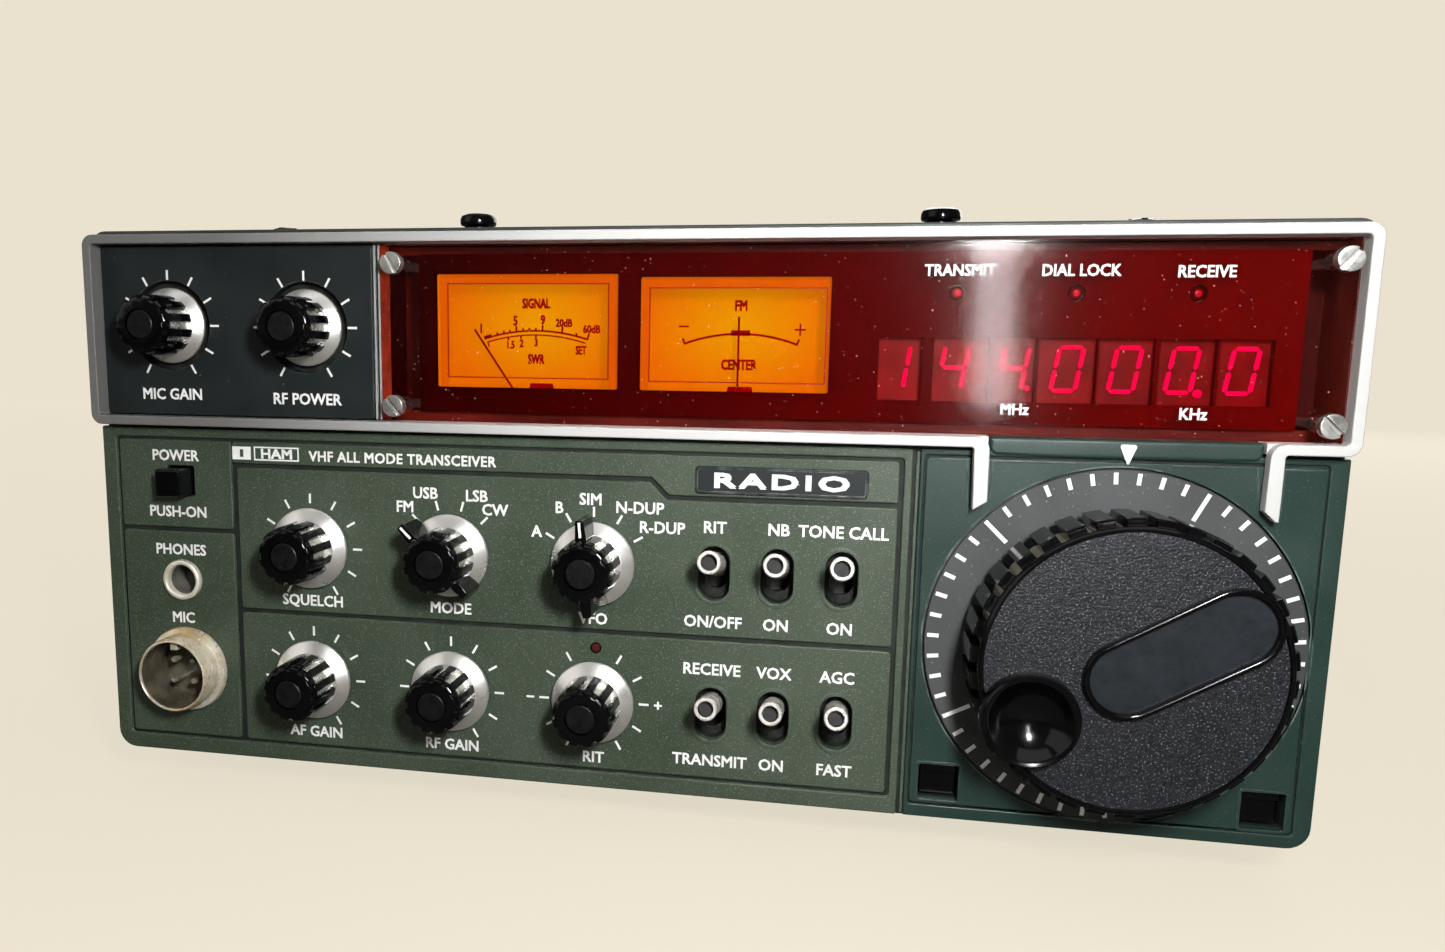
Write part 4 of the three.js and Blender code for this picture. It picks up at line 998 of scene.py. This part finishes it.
def add_display():
    signal_x, centre_x = seen("signal_meter")[0], seen("centre_meter")[0]
    apertures = [rectangle(*opening, 0.4) for opening in METER_APERTURES.values()]
    bays = [rectangle(x0, BAY_Z[0], x1, BAY_Z[1], 0.15) for x0, x1 in DIGIT_BAYS]
    screws = [seen(f"window_screw_{i}") for i in (1, 2, 3, 4)]
    mask = [rectangle(-50.0, 75.6, 112.6, 107.0), *apertures, *bays,
            *[circle(lamp, 1.5, 32) for lamp in LAMPS]]
    make("display_mask_face", [(plate(mask, 4.2, 5.6, 0.1, 1), "maroon")], replaces=["display_mask"])
    # strips round the window glow red: painted light caught in the edges of the red plastic, brightest on its
    # left edge, faint on the back walls
    edges = (
        (-56.3, 106.9, 118.5, 108.4, 5.6, 5.9, "painted_edge_glow"), (-56.3, 72.6, 118.5, 75.7, 5.6, 5.9, "painted_edge_glow"),
        (-56.6, 74.1, -56.42, 108.4, 0.2, 4.6, "painted_edge_flare"), (-56.6, 72.6, -56.42, 108.4, 4.6, 13.4, "maroon"),
        (-56.4, 72.6, -49.5, 108.4, 13.0, 13.4, "dim"), (-50.3, 75.7, -49.9, 106.9, 5.7, 6.1, "painted_edge_glow"),
        (118.55, 72.6, 118.8, 108.4, 0.2, 13.4, "painted_edge_glow"), (112.2, 72.6, 118.5, 108.4, 13.0, 13.4, "dim"))
    make("window_edges", [(plate([rectangle(*box)], front, back, 0.03, 1), kind)
                          for *box, front, back, kind in edges])

    glass = [rectangle(-56.4, 74.0, 118.6, 108.5, 0.4), *[circle(spot, 1.8, 32) for spot in screws]]
    make("display_window_pane", [(plate(glass, -0.2, 2.8, 0.1, 1), "window")],
         replaces=["display_window"])

    lit = [loop for figure, x in zip(READING, DIGIT_X) for loop in digit(figure, x, DIGIT_Z)]
    lit += [circle((96.7, 81.8), 0.8, 20), circle((67.6, 82.3), 0.5, 20)]
    make("digit_figures", [(plate([loop], 6.0, 6.15, 0.03, 1), "digit") for loop in lit])
    make("display_board_lit", [
        (plate([rectangle(40.4, 79.4, 108.4, 91.7)], 6.4, 8.0, 0.05, 1), "digit_bay"),
        (plate([rectangle(38, 76, 111.5, 103)], 8.0, 9.6, 0.1, 1), "board"),
    ], replaces=["display_board"])
    make("indicator_lamps", [(revolve(profile, lamp, 32), kind) for lamp in LAMPS for profile, kind in (
        ([(1.3, 7.0), (1.3, 5.2), (1.0, 4.6), (0.6, 4.4)], "led"),
        ([(0.6, 4.4), (0.3, 4.32), (0, 4.3)], "led_core"))])

    for name, x in (("signal", signal_x), ("centre", centre_x)):
        outside = rectangle(x - 20.0, 70.0, x + 20.0, 104.4)
        x0, z0, x1, z1 = METER_LINES[name]
        band_round = [(x - 18.9, 78), (x - 18.9, 103.6), (x + 18.9, 103.6), (x + 18.9, 78), (x1, 78),
                      (x1, z1), (x0, z1), (x0, 78)]
        bracket = x + METER_BRACKETS[name]
        make(name + "_meter_case", [
            (plate([outside, rectangle(x - 18.9, 79.6, x + 18.9, 103.4)], 6.0, SCALE_DEPTH, 0.05, 1),
             "orange"),
            (plate([outside], SCALE_DEPTH, SCALE_DEPTH + 0.6, 0.05, 1), "orange"),
            (plate([outside], SCALE_DEPTH + 0.6, 34, 0.1, 1), "socket"),
            (plate([band_round], 6.1, 6.4, 0.02, 1), "band"),
            (plate([rectangle(x0, z0, x1, z1), rectangle(x0 + 0.25, z0 + 0.25, x1 - 0.25, z1 - 0.25)],
                   5.9, 6.1, 0.02, 1), "amber_rim"),
            (plate([[(bracket - 2.7, 79.8), (bracket + 2.7, 79.8),
                     (bracket + 2.3, 81.6), (bracket - 2.3, 81.6)]], 7.4, 7.9, 0.05, 1), "needle"),
        ], replaces=[name + "_meter"])

    add_meter_scales()
    for name, x, length in (("signal", signal_x, 22.6), ("centre", centre_x, 21.6)):
        pivot = hub(name + "_needle_swing")
        hand = stroke((pivot[0], pivot[1] - 2.2), (pivot[0], pivot[1] + length), 0.42)
        shaft = [revolve([(1.5, 10.6), (1.5, 8.4), (0, 8.4)], pivot, 24), plate([hand], 9.1, 9.3, 0.02, 1)]
        rest = -34.2 if name == "signal" else 0.0
        parts = [(moved(shape, "Y", rest, (pivot[0], 9, pivot[1])), "needle") for shape in shaft]
        make(name + "_needle_hand", parts, name + "_needle", [name + "_needle"])


def add_meter_scales():
    x, z, radius, half = -28.05, 55.57, 36.6, 17.6
    hub_of_arcs = (x, z)
    ink = [band(hub_of_arcs, radius - 0.2, radius + 0.2, 90 - half, 90 + half),
           band(hub_of_arcs, radius - 1.0, radius - 0.7, 90 - half + 0.6, 90 + half - 0.6),
           band(hub_of_arcs, radius - 0.19, radius + 0.55, 90 + half - 2.6, 90 + half),
           ray(hub_of_arcs, radius + 0.19, radius + 1.2, 90 - half + 0.3, 0.4),
           ray(hub_of_arcs, radius - 1.9, radius - 1.0, 90 + half - 0.8, 0.3)]
    for offset, length in ((-8.2, 0.6), (-6.8, 0.6), (-5.5, 0.6), (-4.1, 1.2), (-2.7, 0.6), (-1.4, 0.6),
                           (0, 0.6), (1.4, 1.2), (5.5, 1.3), (8.5, 0.6)):
        angle = 90 - math.degrees(math.asin(offset / radius))
        ink.append(ray(hub_of_arcs, radius + 0.19, radius + length, angle, 0.42))
    for offset in (-6.1, -3.3, 0):
        angle = 90 - math.degrees(math.asin(offset / radius))
        ink.append(ray(hub_of_arcs, radius - 1.5, radius - 1.0, angle, 0.42))
    words = [("SIGNAL", 1.85, -28.0, 97.7, 0.64), ("SWR", 1.85, -28.0, 86.4, 0.6),
             ("5", 1.8, -32.4, 94.2, 0.75), ("9", 1.8, -26.55, 94.4, 0.75), ("20dB", 1.5, -22.1, 93.8, 0.76),
             ("60dB", 1.5, -16.3, 92.6, 0.79), ("1", 1.8, -39.8, 92.6, 0.75),
             ("1.5", 1.45, -33.5, 89.3, 0.72), ("2", 1.5, -31.1, 89.6, 0.75), ("3", 1.45, -28.0, 89.8, 0.75),
             ("SET", 1.6, -18.5, 88.3, 0.61)]

    x, z, radius, half = 14.0, 59.9, 32.0, 20.7
    hub_of_arcs = (x, z)
    ink += [band(hub_of_arcs, radius - 0.25, radius + 0.2, 90 - half, 90 + half),
            ray(hub_of_arcs, radius + 0.19, radius + 1.1, 90 - half + 0.3, 0.42),
            ray(hub_of_arcs, radius + 0.19, radius + 1.1, 90 + half - 0.3, 0.42),
            rectangle(x - 1.9, 91.5, x + 1.9, 92.6),
            rectangle(x - 12.4, 93.1, x - 10.3, 93.45), rectangle(x + 10.6, 92.6, x + 12.8, 92.95),
            rectangle(x + 11.53, 92.96, x + 11.87, 93.95), rectangle(x + 11.53, 91.6, x + 11.87, 92.59)]
    words += [("FM", 1.95, x, 97.4, 0.72), ("CENTER", 1.9, x - 0.2, 85.8, 0.68)]
    parts = [printed([loop], SCALE_DEPTH) for loop in ink]
    parts += [lettering(text, cap, text_x, text_z, SCALE_DEPTH, weight=0.055, wide=wide)
              for text, cap, text_x, text_z, wide in words]
    make("meter_scales", [(part, "ink") for part in parts])


# ---------------------------------------------------------------- screws, fasteners and the other sides

def slotted_screw(centre, radius, front, seat, turn):
    """A slotted head that faces the viewer, its slot turned from level by an angle."""
    half = 0.35
    halves = []
    for side in (1, -1):
        arc = [polar((0, 0), radius, a) for a in range(10, 171, 10)]
        outline = [(centre[0] + x, centre[1] + side * max(z, half)) for x, z in arc]
        halves.append(plate([outline], front, seat - 0.6, 0.15, 3))
    base = revolve([(0, front + 0.85), (radius - 0.12, front + 0.85), (radius, seat)], centre, 48)
    return [moved(shape, "Y", -turn, (centre[0], 0, centre[1])) for shape in (*halves, base)]


def cross_screw(radius, height):
    """A domed cross-head screw on the origin, seat at y = 0, facing -y."""
    arm, half = radius * 0.55, radius * 0.13
    cross = [(-half, arm), (half, arm), (half, half), (arm, half), (arm, -half), (half, -half),
             (half, -arm), (-half, -arm), (-half, -half), (-arm, -half), (-arm, half), (-half, half)]
    dome = revolve([(radius, 0), (radius, -height * 0.25), (radius * 0.9, -height * 0.62),
                    (radius * 0.7, -height * 0.88), (radius * 0.45, -height), (0, -height)], (0, 0), 40)
    return dome, plate([cross], -height - 0.03, -height + 0.02, 0.005, 1)


TOP_Z, SIDE_X, REAR_Y = 111.4, 120.2, 245.5  # where the cover's sheets lie
FACING = {"top": ("X", -90), "bottom": ("X", 90), "rear": ("Z", 180), "right": ("Z", 90), "left": ("Z", -90)}


def facing(shape, side, place):
    """A shape made at the origin to face -y, turned to another side and put in its place."""
    axis, angle = FACING[side]
    return moved(moved(shape, axis, angle), shift=place)


def add_screws():
    for i, turn in ((1, -58), (2, -50), (3, 49), (4, -45)):
        node = f"window_screw_{i}"
        spot = seen(node)
        shank = revolve([(1.3, -0.6), (1.3, 6.0), (0.9, 6.3), (0.85, 12.8), (0, 12.9)], spot, 32)
        parts = [(shape, "steel") for shape in slotted_screw(spot, 2.15, -2.4, -0.5, turn)]
        parts.append((shank, "shank"))
        make(node + "_head", parts, replaces=[node])

    heads = []
    for side, place, radius, height in (
            [("top", (x, 26, TOP_Z), 4.4, 3.3) for x in (-90, 90)]
            + [("top", (x, 232, TOP_Z), 3.2, 1.8) for x in (-108, 0, 108)]
            + [("right", (SIDE_X, y, z), 3.4, 0.55) for y in (22, 126, 232) for z in (14, 92)]
            + [("left", (-SIDE_X, y, z), 3.4, 0.55) for y in (22, 126, 232) for z in (14, 92)]
            + [("bottom", (x, y, 0), 3.0, 1.6) for x in (-108, 108) for y in (16, 236)]
            + [("rear", (x, REAR_Y, z), 2.6, 1.5) for x in (-113, 116) for z in (8, 56, 104)]
            + [("rear", (-96 + x, 247.6, 32 + z), 1.9, 1.1) for x in (-9.6, 9.6) for z in (-9.6, 9.6)]
            + [("rear", (x, REAR_Y, 30), 2.0, 1.1) for x in (-81.5, -42.5)]):
        dome, cross = cross_screw(radius, height)
        plated = side == "rear"
        heads.append((facing(dome, side, place), "steel" if plated else "black"))
        # the cross is a flat mark in near black: painted shade of a recess
        heads.append((facing(cross, side, place), "painted_shade"))
    make("case_screws", heads)

    for side in ("left", "right"):
        node = side + "_hatch_plunger"
        x, y, _ = middle(node)
        top = local(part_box(node)[1])[2]
        low = local(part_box(node)[0])[2]
        profile = [(0, low), (1.8, low), (2.6, low + 3), (2.6, top - 7.9), (5.3, top - 7.9), (5.4, top - 7.7),
                   (5.35, top - 6.9), (5.0, top - 6.5), (3.5, top - 6.2), (3.2, top - 5.7), (3.15, top - 3.4),
                   (3.5, top - 3.0), (4.2, top - 2.8), (4.4, top - 2.3), (4.35, top - 1.3), (4.0, top - 0.6),
                   (2.8, top - 0.15), (0, top)]
        shape = revolve([(radius, -height) for radius, height in profile], (0, 0), 48)
        make(node + "_body", [(facing(shape, "top", (x, y, 0)), "black")], side + "_plunger",
             [node])


def add_rear_fittings():
    """Small fittings round the sockets on the rear: threads, an insulator, jacks and an earth terminal."""
    x, z = -96, 32
    threads = [(7.75 + 0.35 * (i % 2), -1.9 - 0.45 * i) for i in range(26)]
    barrel = revolve([(7.75, -1.8), *threads, (7.4, -13.7), (5.7, -13.7), (5.6, -10.4)], (0, 0), 64)
    insulator = revolve([(5.65, -10.6), (3.4, -11.2), (3.2, -12.4), (2.2, -12.4)], (0, 0), 48)
    contact = revolve([(2.4, -12.6), (1.9, -12.6), (1.9, -3)], (0, 0), 32)
    earth = revolve([(4.2, 0), (4.2, -1.0), (2.2, -1.0), (2.2, -3.2), (4.6, -3.2), (4.6, -7.4),
                     (4.2, -7.9), (0, -7.9)], (0, 0), 40)
    parts = [(facing(barrel, "rear", (x, 245.8, z)), "steel"),
             (facing(insulator, "rear", (x, 245.8, z)), "white"),
             (facing(contact, "rear", (x, 245.8, z)), "brass"),
             (facing(earth, "rear", (-66, REAR_Y, 60)), "brass")]
    for jack_x, jack_z in ((-60, 84), (-60, 98)):
        jack = revolve([(4.4, 0), (4.4, -1.2), (3.6, -1.6), (2.2, -1.6), (1.9, -1.4), (1.8, 2.0), (0, 2.0)],
                       (0, 0), 40)
        parts.append((facing(jack, "rear", (jack_x, REAR_Y, jack_z)), "socket"))
    make("rear_fittings", parts)

    words = [("ANT", -96, 49.5), ("DC 13.8V", -62, 47), ("FUSE", -96, 85), ("EARTH", -66, 68.5),
             ("KEY", -60, 91), ("EXT SP", -60, 105)]
    inks = []
    for text, label_x, label_z in words:
        ink = lettering(text, 2.2, 0, 0)
        inks.append((facing(ink, "rear", (label_x, REAR_Y, label_z)), "white"))
    make("rear_legends", inks)


FEET = ("front_left_foot", "front_right_foot", "rear_left_foot", "rear_right_foot")
CAD_FINISHES = {
    "cover": ("top_cover", "bottom_cover", "rear_panel", "access_hatch"), "tin": ("chassis", "pll_box"),
    "anodised": ("rear_heatsink",), "steel": ("antenna_connector", "dial_shaft", "power_transformer"),
    "socket": ("power_socket", "fuse_holder", "gain_pot_bank", "control_bank", "toggle_bank"),
    "brass": ("dial_bushing",), "board": ("main_board",), "cone": ("speaker",), "rubber": FEET,
}
BEVEL = 0.3
BEVELS = {"rear_heatsink": 0.25, "main_board": 0.2, "access_hatch": 0.35, **dict.fromkeys(FEET, 0.8)}


def finish_cad_nodes():
    """The CAD's own pieces that stay in sight: softened edges and their finish."""
    for node, kind in ((node, kind) for kind, group in CAD_FINISHES.items() for node in group):
        piece = frame["nodes"][node]
        for material_slot in piece.material_slots:
            material_slot.material = MATERIALS[kind]
        weld = piece.modifiers.new("weld", "WELD")
        weld.merge_threshold = 1e-6
        bevel = piece.modifiers.new("soft_edges", "BEVEL")
        bevel.width = BEVELS.get(node, BEVEL) * MM
        bevel.segments = 2
        bevel.limit_method = "ANGLE"
        bevel.angle_limit = math.radians(35)
        bevel.harden_normals = True


# ---------------------------------------------------------------- the scene

MATERIALS = make_materials()
add_camera()
add_lamps()
add_surroundings()
finish_cad_nodes()
add_front_panel()
add_legends()
add_bezel()
add_gain_panel()
for knob_name in ("squelch", "mode", "vfo", "af_gain", "rf_gain", "rit"):
    add_knob(knob_name)
for knob_name in ("mic_gain", "rf_power"):
    add_knob(knob_name, 1.8, 0.92)
for switch_name in ("rit", "noise_blanker", "tone_call", "transmit", "vox", "agc"):
    add_lever(switch_name)
add_buttons()
add_sockets()
add_dial()
add_display()
add_screws()
add_rear_fittings()
